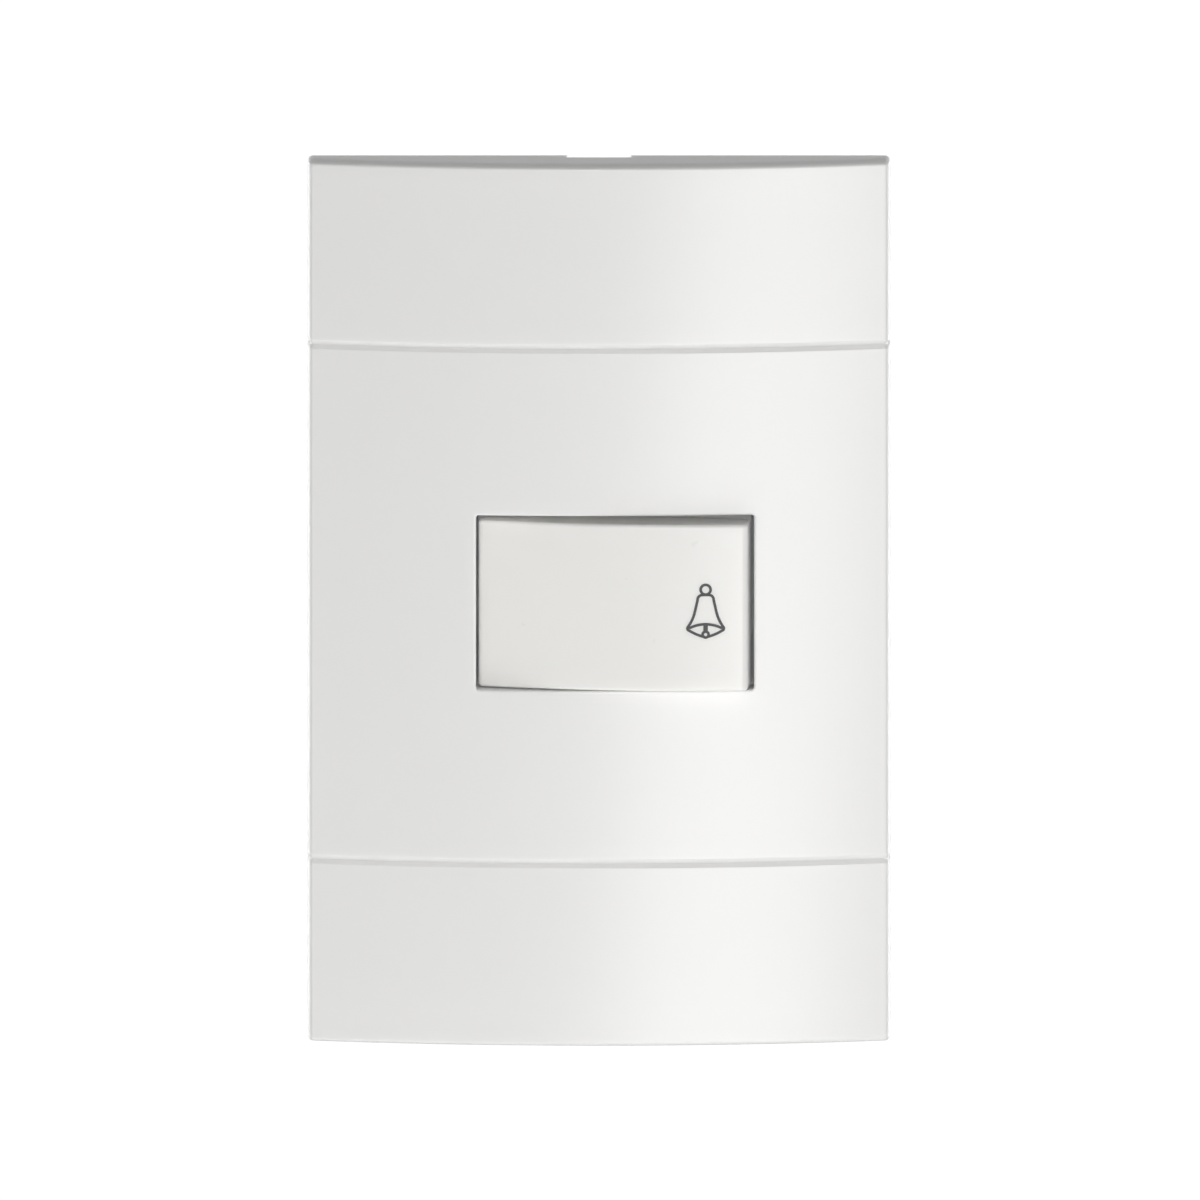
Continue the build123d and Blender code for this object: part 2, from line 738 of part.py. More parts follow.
# Space inside the key: the hollow less the four hooks that grip the carrier
with BuildPart() as key_space:
    inside_half_length = key_width / 2 - key_side_wall
    inside_rise = crown_rise - key_face_wall
    inside_end_rise = arc_height(key_face_radius - key_face_wall, inside_rise, inside_half_length)
    with BuildSketch(key_level):
        with BuildLine():
            ThreePointArc(
                (-inside_half_length, inside_end_rise),
                (0, inside_rise),
                (inside_half_length, inside_end_rise),
            )
            Polyline(
                (inside_half_length, inside_end_rise),
                (inside_half_length, -pivot_out),
                (-inside_half_length, -pivot_out),
                (-inside_half_length, inside_end_rise),
            )
        make_face()
    extrude(amount=key_inside_height, both=True)
    for along in (-hook_from_pivot, hook_from_pivot):
        hook_plane = Plane(
            origin=key_face.from_local_coords((along, 0, 0)), x_dir=key_face.z_dir, z_dir=-key_face.x_dir
        )
        with BuildSketch(hook_plane):
            for side in (-1, 1):
                inner = side * (carrier_half_height + hook_gap)
                outer = inner + side * hook_wall
                with BuildLine():
                    Polyline(
                        (inside_rise + key_face_wall, inner),
                        (carrier_base_rise - hook_gap, inner),
                        (carrier_base_rise - hook_gap, inner - side * hook_nib),
                        (carrier_base_rise - hook_gap - hook_nib, inner),
                        (carrier_base_rise - hook_gap - hook_nib, outer),
                        (inside_rise + key_face_wall, outer),
                        close=True,
                    )
                make_face()
        extrude(amount=hook_length / 2, both=True, mode=Mode.SUBTRACT)

# Key: its base follows the case front at both ends of its travel, so it is a shallow V
with BuildPart() as key_cap:
    base_rise = key_base_out - pivot_out
    left_base_rise = base_rise + key_width / 2 * tan(radians(rest_tilt))
    right_base_rise = base_rise + key_width / 2 * tan(radians(press_tilt))
    with BuildSketch(key_level):
        with BuildLine():
            ThreePointArc((-key_width / 2, end_rise), (0, crown_rise), (key_width / 2, end_rise))
            Polyline(
                (key_width / 2, end_rise),
                (key_width / 2, right_base_rise),
                (0, base_rise),
                (-key_width / 2, left_base_rise),
                (-key_width / 2, end_rise),
            )
        make_face()
    extrude(amount=key_height / 2, both=True)
    out_of_face = Axis(pivot_point, key_face.z_dir)
    fillet(key_cap.edges().filter_by(Axis.Z).sort_by(out_of_face)[-2:], key_end_radius)
    fillet(key_cap.edges().filter_by(GeomType.CIRCLE), key_edge_radius)
    add(key_space.part, mode=Mode.SUBTRACT)
    add(bell_mark.part, mode=Mode.SUBTRACT)
key_cap.part.label = "key_cap"
export_step(key_cap.part, "parts/key_cap.step")

# Carrier under the key: a plate with a hub, two stub axles and the foot that works the plunger
with BuildPart() as rocker_carrier:
    face_radius = key_face_radius - key_face_wall - carrier_face_gap
    face_rise = inside_rise - carrier_face_gap
    face_end_rise = arc_height(face_radius, face_rise, carrier_half_length)
    with BuildSketch(key_level):
        with BuildLine():
            ThreePointArc(
                (-carrier_half_length, face_end_rise), (0, face_rise), (carrier_half_length, face_end_rise)
            )
            Polyline(
                (carrier_half_length, face_end_rise),
                (carrier_half_length, carrier_base_rise),
                (-carrier_half_length, carrier_base_rise),
                (-carrier_half_length, face_end_rise),
            )
        make_face()
        Circle(carrier_hub_radius)
    extrude(amount=carrier_half_height, both=True)
    with BuildSketch(key_level):
        Circle(axle_radius)
    extrude(amount=ear_outer_height - axle_end_gap, both=True)
    with BuildSketch(key_level):
        with Locations((foot_from_pivot, (carrier_base_rise - foot_drop) / 2)):
            Rectangle(2 * foot_radius, carrier_base_rise + foot_drop)
        with Locations((foot_from_pivot, -foot_drop)):
            Circle(foot_radius)
    extrude(amount=foot_half_height, both=True)
rocker_carrier.part.label = "rocker_carrier"
export_step(rocker_carrier.part, "parts/rocker_carrier.step")

# Plunger: a block in the case's guide, with a window for the contact bridge and a nose inside the spring
with BuildPart() as plunger:
    with BuildSketch(wall_plane(plunger_base_out)):
        with Locations((plunger_x, 0)):
            Rectangle(plunger_width, plunger_height)
    extrude(amount=plunger_top_out - plunger_base_out)
    with BuildSketch(wall_plane(bridge_seat_out)):
        with Locations((plunger_x, 0)):
            Rectangle(plunger_window_width, plunger_height)
    extrude(amount=plunger_window_height, mode=Mode.SUBTRACT)
    with BuildSketch(wall_plane(plunger_base_out)):
        with Locations((plunger_x, 0)):
            Circle(plunger_nose_radius)
    extrude(amount=-plunger_nose_length)
plunger.part.label = "plunger"
export_step(plunger.part, "parts/plunger.step")

# Coil springs of round wire: one returns the plunger, the other presses the bridge on its seat
springs = (
    ("return_spring", floor_out, plunger_base_out, return_spring_radius, return_wire, return_spring_turns),
    (
        "contact_spring",
        bridge_seat_out + bridge_thickness,
        window_top_out,
        contact_spring_radius,
        contact_wire,
        contact_spring_turns,
    ),
)
for spring_name, back_out, top_out, coil_radius, wire, turns in springs:
    coil_start_out = back_out + spring_seat_gap + wire / 2
    coil_height = top_out - back_out - 2 * spring_seat_gap - wire
    with BuildPart() as coil_spring:
        with BuildLine():
            coil = Helix(
                pitch=coil_height / turns,
                height=coil_height,
                radius=coil_radius,
                center=(plunger_x, -coil_start_out, 0),
                direction=(0, -1, 0),
            )
        with BuildSketch(Plane(origin=coil @ 0, z_dir=coil % 0)):
            Circle(wire / 2)
        sweep(is_frenet=True)
    wire_volume = pi * (wire / 2) ** 2 * coil.length
    point_count = round(turns * coil_points_per_turn)
    points = [coil @ (number / point_count) for number in range(point_count + 1)]
    least_gap = min(
        (points[far] - points[near]).length - wire
        for near in range(point_count)
        for far in range(near + coil_points_per_turn // 2, point_count + 1)
    )
    print(f"{spring_name}: least gap to itself {least_gap:.2f} mm")
    print(f"{spring_name}: volume {coil_spring.part.volume:.3f}, section times length {wire_volume:.3f}")
    coil_spring.part.label = spring_name
    export_step(coil_spring.part, f"parts/{spring_name}.step")

# Contact bridge: a brass bar that lies in the plunger's window, across the two fixed contacts
with BuildPart() as contact_bridge:
    with BuildSketch(wall_plane(bridge_seat_out)):
        with Locations((plunger_x, 0)):
            SlotOverall(2 * bridge_half_length, bridge_width, rotation=90)
    extrude(amount=bridge_thickness)
contact_bridge.part.label = "contact_bridge"
export_step(contact_bridge.part, "parts/contact_bridge.step")

# Silver contact tips: two under the bridge and two on the fixed strips
contact_spots = [(plunger_x, -contact_from_middle), (plunger_x, contact_from_middle)]
for tips_name, back_out, height in (
    ("moving_contact_tips", moving_tip_out, moving_tip_height),
    ("fixed_contact_tips", tongue_out, fixed_tip_height),
):
    with BuildPart() as contact_tips:
        with BuildSketch(wall_plane(back_out)):
            with Locations(*contact_spots):
                Circle(contact_tip_radius)
        extrude(amount=height)
    contact_tips.part.label = tips_name
    export_step(contact_tips.part, f"parts/{tips_name}.step")

# The upper and the lower wire terminal are alike, each on its side of the middle
for side_name, side in (("upper", 1), ("lower", -1)):
    block_z = side * terminal_z
    strip_z = side * (strip_inner_z + strip_thickness / 2)
    strip_back_out = tongue_out - strip_thickness
    strip_right = plunger_x + tongue_width / 2
    block_left = terminal_x - terminal_length / 2
    block_right = terminal_x + terminal_length / 2

    # Brass strip: a tongue under the bridge, a run along the case wall, and a tail beside the block
    with BuildPart() as terminal_strip:
        with BuildSketch(wall_plane(strip_back_out)):
            outer_edge = strip_inner_z + strip_thickness
            with Locations((plunger_x, side * (tongue_inner_edge + outer_edge) / 2)):
                Rectangle(tongue_width, outer_edge - tongue_inner_edge)
        extrude(amount=strip_thickness)
        with BuildSketch(wall_plane(strip_back_out)):
            with Locations(((block_left + strip_right) / 2, strip_z)):
                Rectangle(strip_right - block_left, strip_thickness)
        extrude(amount=strip_width)
        with BuildSketch(wall_plane(floor_out + strip_tail_gap)):
            with Locations((terminal_x, strip_z)):
                Rectangle(terminal_length, strip_thickness)
        extrude(amount=strip_back_out - floor_out - strip_tail_gap)
    terminal_strip.part.label = f"terminal_strip_{side_name}"
    export_step(terminal_strip.part, f"parts/terminal_strip_{side_name}.step")

    # Brass block: a square tube, open to the wire from behind, tapped from the left for the clamp screw
    with BuildPart() as terminal_block:
        with BuildSketch(wall_plane(floor_out)):
            with Locations((terminal_x, block_z)):
                Rectangle(terminal_length, terminal_height)
                Rectangle(chamber_length, chamber_height, mode=Mode.SUBTRACT)
        extrude(amount=terminal_depth)
        with BuildSketch(side_plane(block_left)):
            with Locations((clamp_out, block_z)):
                Circle(clamp_screw_radius + clamp_screw_clearance)
        extrude(amount=-terminal_wall, mode=Mode.SUBTRACT)
    terminal_block.part.label = f"terminal_block_{side_name}"
    export_step(terminal_block.part, f"parts/terminal_block_{side_name}.step")

    # Steel pad that the screw drives across the block onto the wire
    with BuildPart() as pressure_pad:
        with BuildSketch(side_plane(pad_left)):
            with Locations((clamp_out, block_z)):
                RectangleRounded(pad_depth, chamber_height - 2 * pad_play, pad_corner_radius)
        extrude(amount=-pad_thickness)
    pressure_pad.part.label = f"pressure_pad_{side_name}"
    export_step(pressure_pad.part, f"parts/pressure_pad_{side_name}.step")

    # Cheese head clamp screw, reached through the hole in the case's left end
    with BuildPart() as clamp_screw:
        with BuildSketch(side_plane(clamp_head_x)):
            with Locations((clamp_out, block_z)):
                Circle(clamp_head_radius)
        extrude(amount=clamp_head_height)
        with BuildSketch(side_plane(clamp_head_x)):
            with Locations((clamp_out, block_z)):
                Circle(clamp_screw_radius)
        extrude(amount=-(pad_left - pad_tip_gap - clamp_head_x))
        with BuildSketch(side_plane(clamp_head_x - clamp_head_height)):
            with Locations((clamp_out, block_z)):
                Rectangle(2 * clamp_head_radius, clamp_slot_width)
        extrude(amount=-clamp_slot_depth, mode=Mode.SUBTRACT)
    clamp_screw.part.label = f"clamp_screw_{side_name}"
    export_step(clamp_screw.part, f"parts/clamp_screw_{side_name}.step")
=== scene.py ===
from math import cos, pi, radians, sin

import bmesh
import bpy
import numpy as np
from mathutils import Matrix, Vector


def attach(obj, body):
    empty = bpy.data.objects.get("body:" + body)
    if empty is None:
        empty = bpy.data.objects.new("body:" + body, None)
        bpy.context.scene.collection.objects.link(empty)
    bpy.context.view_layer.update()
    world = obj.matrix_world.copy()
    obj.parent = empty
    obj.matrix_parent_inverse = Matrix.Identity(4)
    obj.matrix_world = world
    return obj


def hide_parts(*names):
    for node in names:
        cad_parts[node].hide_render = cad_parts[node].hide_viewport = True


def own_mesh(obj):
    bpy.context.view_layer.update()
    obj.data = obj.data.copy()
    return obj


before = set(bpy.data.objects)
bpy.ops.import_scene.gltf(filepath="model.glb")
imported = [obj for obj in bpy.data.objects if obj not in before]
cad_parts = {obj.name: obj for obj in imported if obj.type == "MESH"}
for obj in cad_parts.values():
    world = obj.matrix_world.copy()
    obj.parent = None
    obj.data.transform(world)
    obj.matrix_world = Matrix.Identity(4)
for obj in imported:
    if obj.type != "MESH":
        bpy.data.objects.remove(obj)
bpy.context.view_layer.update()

# Camera: an almost parallel view of the front, straight on from the side and a little from above.
# Its frame has the photograph's width and middle, and it stands a metre back along the view.
view_rise, frame_width = radians(10.41), 0.160556
frame_middle = Vector((0.000134, 0.0, -0.000503))
view_back = Vector((0.0, -cos(view_rise), sin(view_rise)))
camera_data = bpy.data.cameras.new("camera")
camera_data.type = "ORTHO"
camera_data.ortho_scale = frame_width
camera_data.clip_start, camera_data.clip_end = 0.01, 12.0
camera = bpy.data.objects.new("camera", camera_data)
camera.location = frame_middle + view_back
camera.rotation_euler = view_back.to_track_quat("Z", "Y").to_euler()
bpy.context.scene.collection.objects.link(camera)
bpy.context.scene.camera = camera
bpy.context.scene.view_settings.view_transform = "Standard"

# Surroundings: pale all round, white where the camera or a gloss looks at them, and dim as light,
# so that the faces that look up stay grey as in the photograph.
white, sky_strength = (1.0, 1.0, 1.0, 1.0), 0.16
world = bpy.data.worlds.new("studio")
world.use_nodes = True
bpy.context.scene.world = world
sky = world.node_tree
sky_light = sky.nodes["Background"]
sky_light.inputs["Color"].default_value = white
sky_light.inputs["Strength"].default_value = sky_strength
sky_seen = sky.nodes.new("ShaderNodeBackground")
sky_seen.inputs["Color"].default_value = white
sky_ray = sky.nodes.new("ShaderNodeLightPath")
sky_direct, sky_any = sky.nodes.new("ShaderNodeMath"), sky.nodes.new("ShaderNodeMath")
sky_direct.operation = sky_any.operation = "MAXIMUM"
sky_mix = sky.nodes.new("ShaderNodeMixShader")
for given, taken in (
    (sky_ray.outputs["Is Camera Ray"], sky_direct.inputs[0]),
    (sky_ray.outputs["Is Glossy Ray"], sky_direct.inputs[1]),
    (sky_direct.outputs["Value"], sky_any.inputs[0]),
    (sky_ray.outputs["Is Transmission Ray"], sky_any.inputs[1]),
    (sky_any.outputs["Value"], sky_mix.inputs["Fac"]),
    (sky_light.outputs["Background"], sky_mix.inputs[1]),
    (sky_seen.outputs["Background"], sky_mix.inputs[2]),
    (sky_mix.outputs["Shader"], sky.nodes["World Output"].inputs["Surface"]),
):
    sky.links.new(given, taken)

# Floor: a pale sheet well below the push, which hangs free as in the photograph. It takes the
# shadow, and a little light of its own that only the camera sees brings it to white.
floor_half, floor_up, floor_glow = 6.0, -1.0, 0.85
floor_mesh = bpy.data.meshes.new("floor")
floor_corners = floor_half * np.array(((-1, -1), (1, -1), (1, 1), (-1, 1)))
floor_mesh.from_pydata(np.c_[floor_corners, np.full(4, floor_up)], [], [(0, 1, 2, 3)])
floor = bpy.data.objects.new("floor", floor_mesh)
bpy.context.scene.collection.objects.link(floor)
floor_paper = bpy.data.materials.new("floor_paper")
floor_paper.use_nodes = True
paper = floor_paper.node_tree
paper_shader = paper.nodes["Principled BSDF"]
paper_shader.inputs["Base Color"].default_value = (0.9, 0.9, 0.9, 1.0)
paper_shader.inputs["Roughness"].default_value = 0.9
paper_shader.inputs["Emission Color"].default_value = white
paper_ray = paper.nodes.new("ShaderNodeLightPath")
paper_glow = paper.nodes.new("ShaderNodeMath")
paper_glow.operation = "MULTIPLY"
paper_glow.inputs[1].default_value = floor_glow
paper.links.new(paper_ray.outputs["Is Camera Ray"], paper_glow.inputs[0])
paper.links.new(paper_glow.outputs["Value"], paper_shader.inputs["Emission Strength"])
floor_mesh.materials.append(floor_paper)


# Lamps: a leaning soft box near on the right that gives the plate its slanting highlight, and a
# narrow strip far out in front that reaches into the gap round the key. Broad fills stand below,
# at both sides and behind, so that no side of the push is left dark.
def soft_box(name, azimuth, rise, distance, width, height, radiance, turn=0.0, mirrored=True):
    """Area lamp at this azimuth (to the right of the front) and rise, aimed at the push. Its power
    is its radiance times pi times its area. One that isn't mirrored leaves the glossy faces to the
    white surroundings alone."""
    lamp = bpy.data.lights.new(name, "AREA")
    lamp.shape = "RECTANGLE"
    lamp.size, lamp.size_y = width, height
    lamp.energy = radiance * pi * width * height
    aside, up = radians(azimuth), radians(rise)
    place = distance * Vector((sin(aside) * cos(up), -cos(aside) * cos(up), sin(up)))
    holder = bpy.data.objects.new(name, lamp)
    holder.location = place
    holder.rotation_euler = place.to_track_quat("Z", "Y").to_matrix().to_euler()
    holder.rotation_euler.rotate_axis("Z", radians(turn))
    holder.visible_glossy = mirrored
    bpy.context.scene.collection.objects.link(holder)


soft_box(
    "soft_box_right", azimuth=15.3, rise=-9.0, distance=0.6,
    width=0.18, height=0.42, radiance=5.1, turn=-30.0,
)
soft_box(
    "strip_front", azimuth=0.0, rise=14.0, distance=1.25, width=0.14, height=0.3, radiance=22.5
)
soft_box(
    "fill_below", azimuth=8.0, rise=-68.0, distance=0.85,
    width=1.2, height=0.7, radiance=1.2, mirrored=False,
)
soft_box(
    "fill_left", azimuth=-62.0, rise=-8.0, distance=0.9,
    width=0.85, height=0.85, radiance=0.69, mirrored=False,
)
soft_box(
    "fill_right", azimuth=72.0, rise=-8.0, distance=0.9,
    width=0.6, height=0.6, radiance=0.65, mirrored=False,
)
for lamp_name, lamp_azimuth in (("fill_back_right", 140.0), ("fill_back_left", -140.0)):
    soft_box(
        lamp_name, lamp_azimuth, rise=-6.0, distance=0.9, width=0.6, height=0.6, radiance=3.0
    )

# Cover plate: one white moulding, bowed about an upright axis, with two fine V grooves across it.
# It is moulded 2 mm thick in a thermoset, polished on its face and a little matt on its sides, and
# its four split pegs push into the support.
mm = 0.001
plate_width, plate_height = 78.0, 120.0
plate_wall, rim_depth, crown_out = 2.0, 3.8, 7.8
bow_rise = crown_out - rim_depth
bow_radius = ((plate_width / 2) ** 2 + bow_rise**2) / (2 * bow_rise)
corner_radius, edge_inset, edge_run, edge_margin = 0.8, 0.68, 2.2, 0.06
groove_up, groove_depth, groove_half_width, groove_side_depth = 35.0, 0.5, 0.6, 0.3
groove_valley, groove_brim, groove_overcut = 0.05, 0.03, 0.06
notch_half_width, notch_out = 4.3, 1.5
window_x, window_z, window_width, window_height = 2.15, 0.4, 37.2, 23.8
window_corner, window_edge, window_margin = 0.4, 0.3, 0.05
collar_out, collar_wall, collar_edge = 2.4, 1.2, 0.2
apron, apron_lines, line_gap, line_tolerance = 2.4, 7, 0.05, 0.0001
plate_columns, plate_rows, corner_steps, edge_rows = 79, 81, 6, 13
groove_reach, groove_rows = 0.9, 31
weld_within, sliver, crisp_angle = 0.002 * mm, 0.001 * mm, radians(40.0)


def placed(x, out, z):
    """Points in metres from millimetres: x to the right, out of the wall, and up."""
    x, out, z = np.broadcast_arrays(x, out, z)
    return np.stack((x, -out, z), axis=-1) * mm


def raised(flat, out):
    """Points of x and z on the wall, raised this far out of it."""
    return placed(flat[:, 0], out, flat[:, 1])


def eased_corner(steps):
    """Directions that turn evenly from straight right to straight up."""
    turn = np.linspace(0, pi / 2, steps + 1)
    return np.stack((np.cos(turn), np.sin(turn)), axis=-1)


def walk_round(half_x, half_z, run_x, run_z, corner):
    """Anticlockwise walk round a rectangle. A side gives its points and the direction out of it;
    at each corner the point stays while the direction goes through corner, turned a quarter
    further each time."""
    sides = (
        (np.full_like(run_z, half_x), run_z, (1, 1)),
        (run_x[::-1], np.full_like(run_x, half_z), (-1, 1)),
        (np.full_like(run_z, -half_x), run_z[::-1], (-1, -1)),
        (run_x, np.full_like(run_x, -half_z), (1, -1)),
    )
    core, way = [], []
    for x, z, signs in sides:
        core += [np.stack((x, z), axis=-1), np.tile((half_x, half_z), (len(corner), 1)) * signs]
        way += [np.repeat(corner[:1], len(x), axis=0), corner]
        corner = corner @ np.array(((0, 1), (-1, 0)))
    return np.concatenate(core), np.concatenate(way)


def sheet(points, ring=False, kept=None):
    """Quads between neighbouring points of a grid; a ring also joins its last column to its first,
    and kept picks the quads that stay."""
    rows, columns = points.shape[:2]
    number = np.arange(rows * columns).reshape(rows, columns)
    here = number if ring else number[:, :-1]
    after = np.roll(number, -1, axis=1) if ring else number[:, 1:]
    quads = np.stack((here[:-1], after[:-1], after[1:], here[1:]), axis=-1)
    return points.reshape(-1, 3), quads[kept] if kept is not None else quads.reshape(-1, 4)


def push_piece(name, sheets, material, body, nodes):
    """One piece of the push from its sheets: their shared edges are merged, its faces turned
    outwards, and its sharp edges left crisp."""
    starts = np.cumsum([0] + [len(part[0]) for part in sheets])
    points = np.concatenate([part[0] for part in sheets])
    quads = np.concatenate([part[1] + start for part, start in zip(sheets, starts)])
    mesh = bpy.data.meshes.new(name)
    mesh.from_pydata(points, [], quads.tolist())
    shell = bmesh.new()
    shell.from_mesh(mesh)
    bmesh.ops.remove_doubles(shell, verts=shell.verts, dist=weld_within)
    bmesh.ops.dissolve_degenerate(shell, edges=shell.edges, dist=sliver)
    bmesh.ops.recalc_face_normals(shell, faces=shell.faces)
    shell.to_mesh(mesh)
    shell.free()
    mesh.shade_smooth()
    mesh.set_sharp_from_angle(angle=crisp_angle)
    mesh.materials.append(material)
    piece = bpy.data.objects.new(name, mesh)
    bpy.context.scene.collection.objects.link(piece)
    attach(piece, body)
    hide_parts(*nodes)
    return piece


def bow(x, wall=0.0):
    """Height of the bowed face out of the wall: a circle about an upright axis, drawn in by a
    wall's thickness."""
    radius = bow_radius - wall
    return crown_out - wall - radius + np.sqrt(radius**2 - x**2)


def groove(z, depth, half_width):
    """Depth of the two V grooves at height z. With d the distance from a groove's middle and full
    the depth and its overcut, the V is v = full - full / half_width * sqrt(d^2 + valley^2), and
    the cut (v + sqrt(v^2 + brim^2)) / 2 eases its brims. The overcut makes up for what the rounded
    valley takes off."""
    distance = np.abs(np.abs(z) - groove_up)
    full = depth + groove_overcut
    cut = full - full / half_width * np.sqrt(distance**2 + groove_valley**2)
    return (cut + np.sqrt(cut**2 + groove_brim**2)) / 2


def closed_bar(core, way, rows):
    """Closed shell round an outline: each row is a radius from the core and a height out of the
    wall, and both ends shrink to the core's middle line."""
    middle = np.stack((core[:, 0], np.full(len(core), core[:, 1].mean())), axis=-1)
    layers = [raised(middle, rows[0][1])]
    layers += [raised(core + radius * way, out) for radius, out in rows]
    layers += [raised(middle, rows[-1][1])]
    return sheet(np.stack(layers), ring=True)


def lattice_lines(reach, count, middle, core, extra):
    """Lines across the plate: even ones, the window's own in their place where they cross its
    apron, and the extra ones."""
    even = np.linspace(-reach, reach, count)
    clear = np.abs(np.abs(even - middle) - core - apron / 2) > apron / 2 + line_gap
    own = np.concatenate((middle - core - apron_steps, middle + core + apron_steps))
    return np.unique(np.round(np.concatenate((even[clear], own, extra)), 5))


window_core_x, window_core_z = window_width / 2 - window_corner, window_height / 2 - window_corner
apron_steps = np.linspace(0, apron, apron_lines)
plate_core_x, plate_core_z = plate_width / 2 - corner_radius, plate_height / 2 - corner_radius
notch_lines = (-notch_half_width, notch_half_width)
groove_own = np.linspace(-groove_reach, groove_reach, groove_rows)
groove_lines = np.concatenate((groove_own - groove_up, groove_own + groove_up))
x_lines = lattice_lines(plate_core_x, plate_columns, window_x, window_core_x, notch_lines)
z_lines = lattice_lines(plate_core_z, plate_rows, window_z, window_core_z, groove_lines)
grid_x, grid_z = np.meshgrid(x_lines, z_lines)
quad_x, quad_z = np.meshgrid((x_lines[1:] + x_lines[:-1]) / 2, (z_lines[1:] + z_lines[:-1]) / 2)
beside_window = (np.abs(quad_x - window_x) > window_core_x + apron) | (
    np.abs(quad_z - window_z) > window_core_z + apron
)
face_out = bow(grid_x) - groove(grid_z, groove_depth, groove_half_width)
face_sheet = sheet(placed(grid_x, face_out, grid_z), kept=beside_window)
inside_x, inside_z = plate_width / 2 - plate_wall, plate_height / 2 - plate_wall
ceiling_x, ceiling_z = np.clip(grid_x, -inside_x, inside_x), np.clip(grid_z, -inside_z, inside_z)
ceiling_sheet = sheet(placed(ceiling_x, bow(ceiling_x, plate_wall), ceiling_z), kept=beside_window)

# The rim: up the side wall, over the rounded edge and onto the face, with the pry notch at the
# top. The lines at the notch's edges stand double, and the inner one of each pair is in it.
rim_run_x = np.sort(np.append(x_lines[1:-1], notch_lines))
rim_core, rim_way = walk_round(
    plate_core_x, plate_core_z, rim_run_x, z_lines[1:-1], eased_corner(corner_steps)
)
at_top = rim_core[:, 1] > 0
in_notch = (np.abs(rim_core[:, 0]) < notch_half_width) & at_top
notch_edges = np.flatnonzero((np.abs(rim_core[:, 0]) == notch_half_width) & at_top)
in_notch[notch_edges[1:3]] = True
rim_low = np.where(in_notch, notch_out, 0.0)
side_half_width = groove_half_width * groove_side_depth / groove_depth
side_cut = groove(rim_core[:, 1], groove_side_depth, side_half_width)
face_cut = groove(rim_core[:, 1], groove_depth, groove_half_width)


def rim_row(turn, inset, share=1.0):
    """One ring round the rim, drawn in by the inset, where the edge has turned this far from the
    side to the face. A share of less than one lies between the notch's roof and the edge's start.
    The grooves cut inwards on the side and down on the face."""
    flat = rim_core + (corner_radius - inset) * rim_way
    cut = side_cut * cos(turn) ** 2 + face_cut * sin(turn) ** 2
    top_out = bow(flat[:, 0]) - edge_run * (1 - sin(turn))
    flat = flat - (cut * cos(turn))[:, None] * rim_way
    return raised(flat, notch_out + (top_out - notch_out) * share - cut * sin(turn))


rim_foot = rim_core + corner_radius * rim_way - side_cut[:, None] * rim_way
side_shares = 0.0, 0.48 / 0.98, 0.93 / 0.98
rim_rows = [raised(rim_foot, rim_low)]
rim_rows += [rim_row(0.0, 0.0, share) for share in side_shares]
rim_rows += [
    rim_row(turn, edge_inset * (1 - cos(turn))) for turn in np.linspace(0, pi / 2, edge_rows)
]
rim_rows += [rim_row(pi / 2, inset) for inset in (edge_inset + edge_margin, corner_radius)]
rim_sheet = sheet(np.stack(rim_rows), ring=True)
inside_rim = np.clip(rim_core, (-inside_x, -inside_z), (inside_x, inside_z))
inside_sheet = sheet(np.stack((
    raised(rim_foot, rim_low),
    raised(inside_rim, rim_low),
    raised(inside_rim, notch_out),
    raised(inside_rim, bow(inside_rim[:, 0], plate_wall)),
)), ring=True)


# The window: over its rounded front edge, down inside the collar, round its end and up to the
# ceiling, between an apron of the face and one of the ceiling
def crossing(lines, middle, core):
    """The plate's lines between the window's corners, from the window's middle."""
    return lines[np.abs(lines - middle) < core - line_tolerance] - middle


apron_corner = np.concatenate((
    np.stack((np.full_like(apron_steps, apron), apron_steps), axis=-1),
    np.stack((apron_steps, np.full_like(apron_steps, apron)), axis=-1)[-2::-1],
))
window_core, window_reach = walk_round(
    window_core_x, window_core_z, crossing(x_lines, window_x, window_core_x),
    crossing(z_lines, window_z, window_core_z), apron_corner,
)
window_way = window_reach / np.linalg.norm(window_reach, axis=1, keepdims=True)


def window_row(radius, sunk=0.0, out=None, wall=0.0, square=False):
    """One ring round the window, this far from its core, sunk from the bowed face or at a height
    out of the wall; a square ring reaches the lattice of the face or the ceiling."""
    flat = (window_x, window_z) + window_core
    flat = flat + (window_reach if square else radius * window_way)
    return raised(flat, bow(flat[:, 0], wall) - sunk if out is None else out)


eases = np.linspace(0, pi / 2, 7)
collar_radius = window_corner + collar_wall
window_rows = [
    window_row(0.0, square=True), window_row(window_corner + window_edge + window_margin)
]
window_rows += [
    window_row(window_corner + window_edge * (1 - sin(ease)), sunk=window_edge * (1 - cos(ease)))
    for ease in eases
]
window_rows += [
    window_row(
        window_corner + collar_edge * (1 - cos(ease)),
        out=collar_out + collar_edge * (1 - sin(ease)),
    )
    for ease in eases
]
window_rows += [
    window_row(
        collar_radius - collar_edge * (1 - sin(ease)),
        out=collar_out + collar_edge * (1 - cos(ease)),
    )
    for ease in eases
]
window_rows += [
    window_row(collar_radius, wall=plate_wall), window_row(0.0, wall=plate_wall, square=True)
]
window_sheet = sheet(np.stack(window_rows), ring=True)

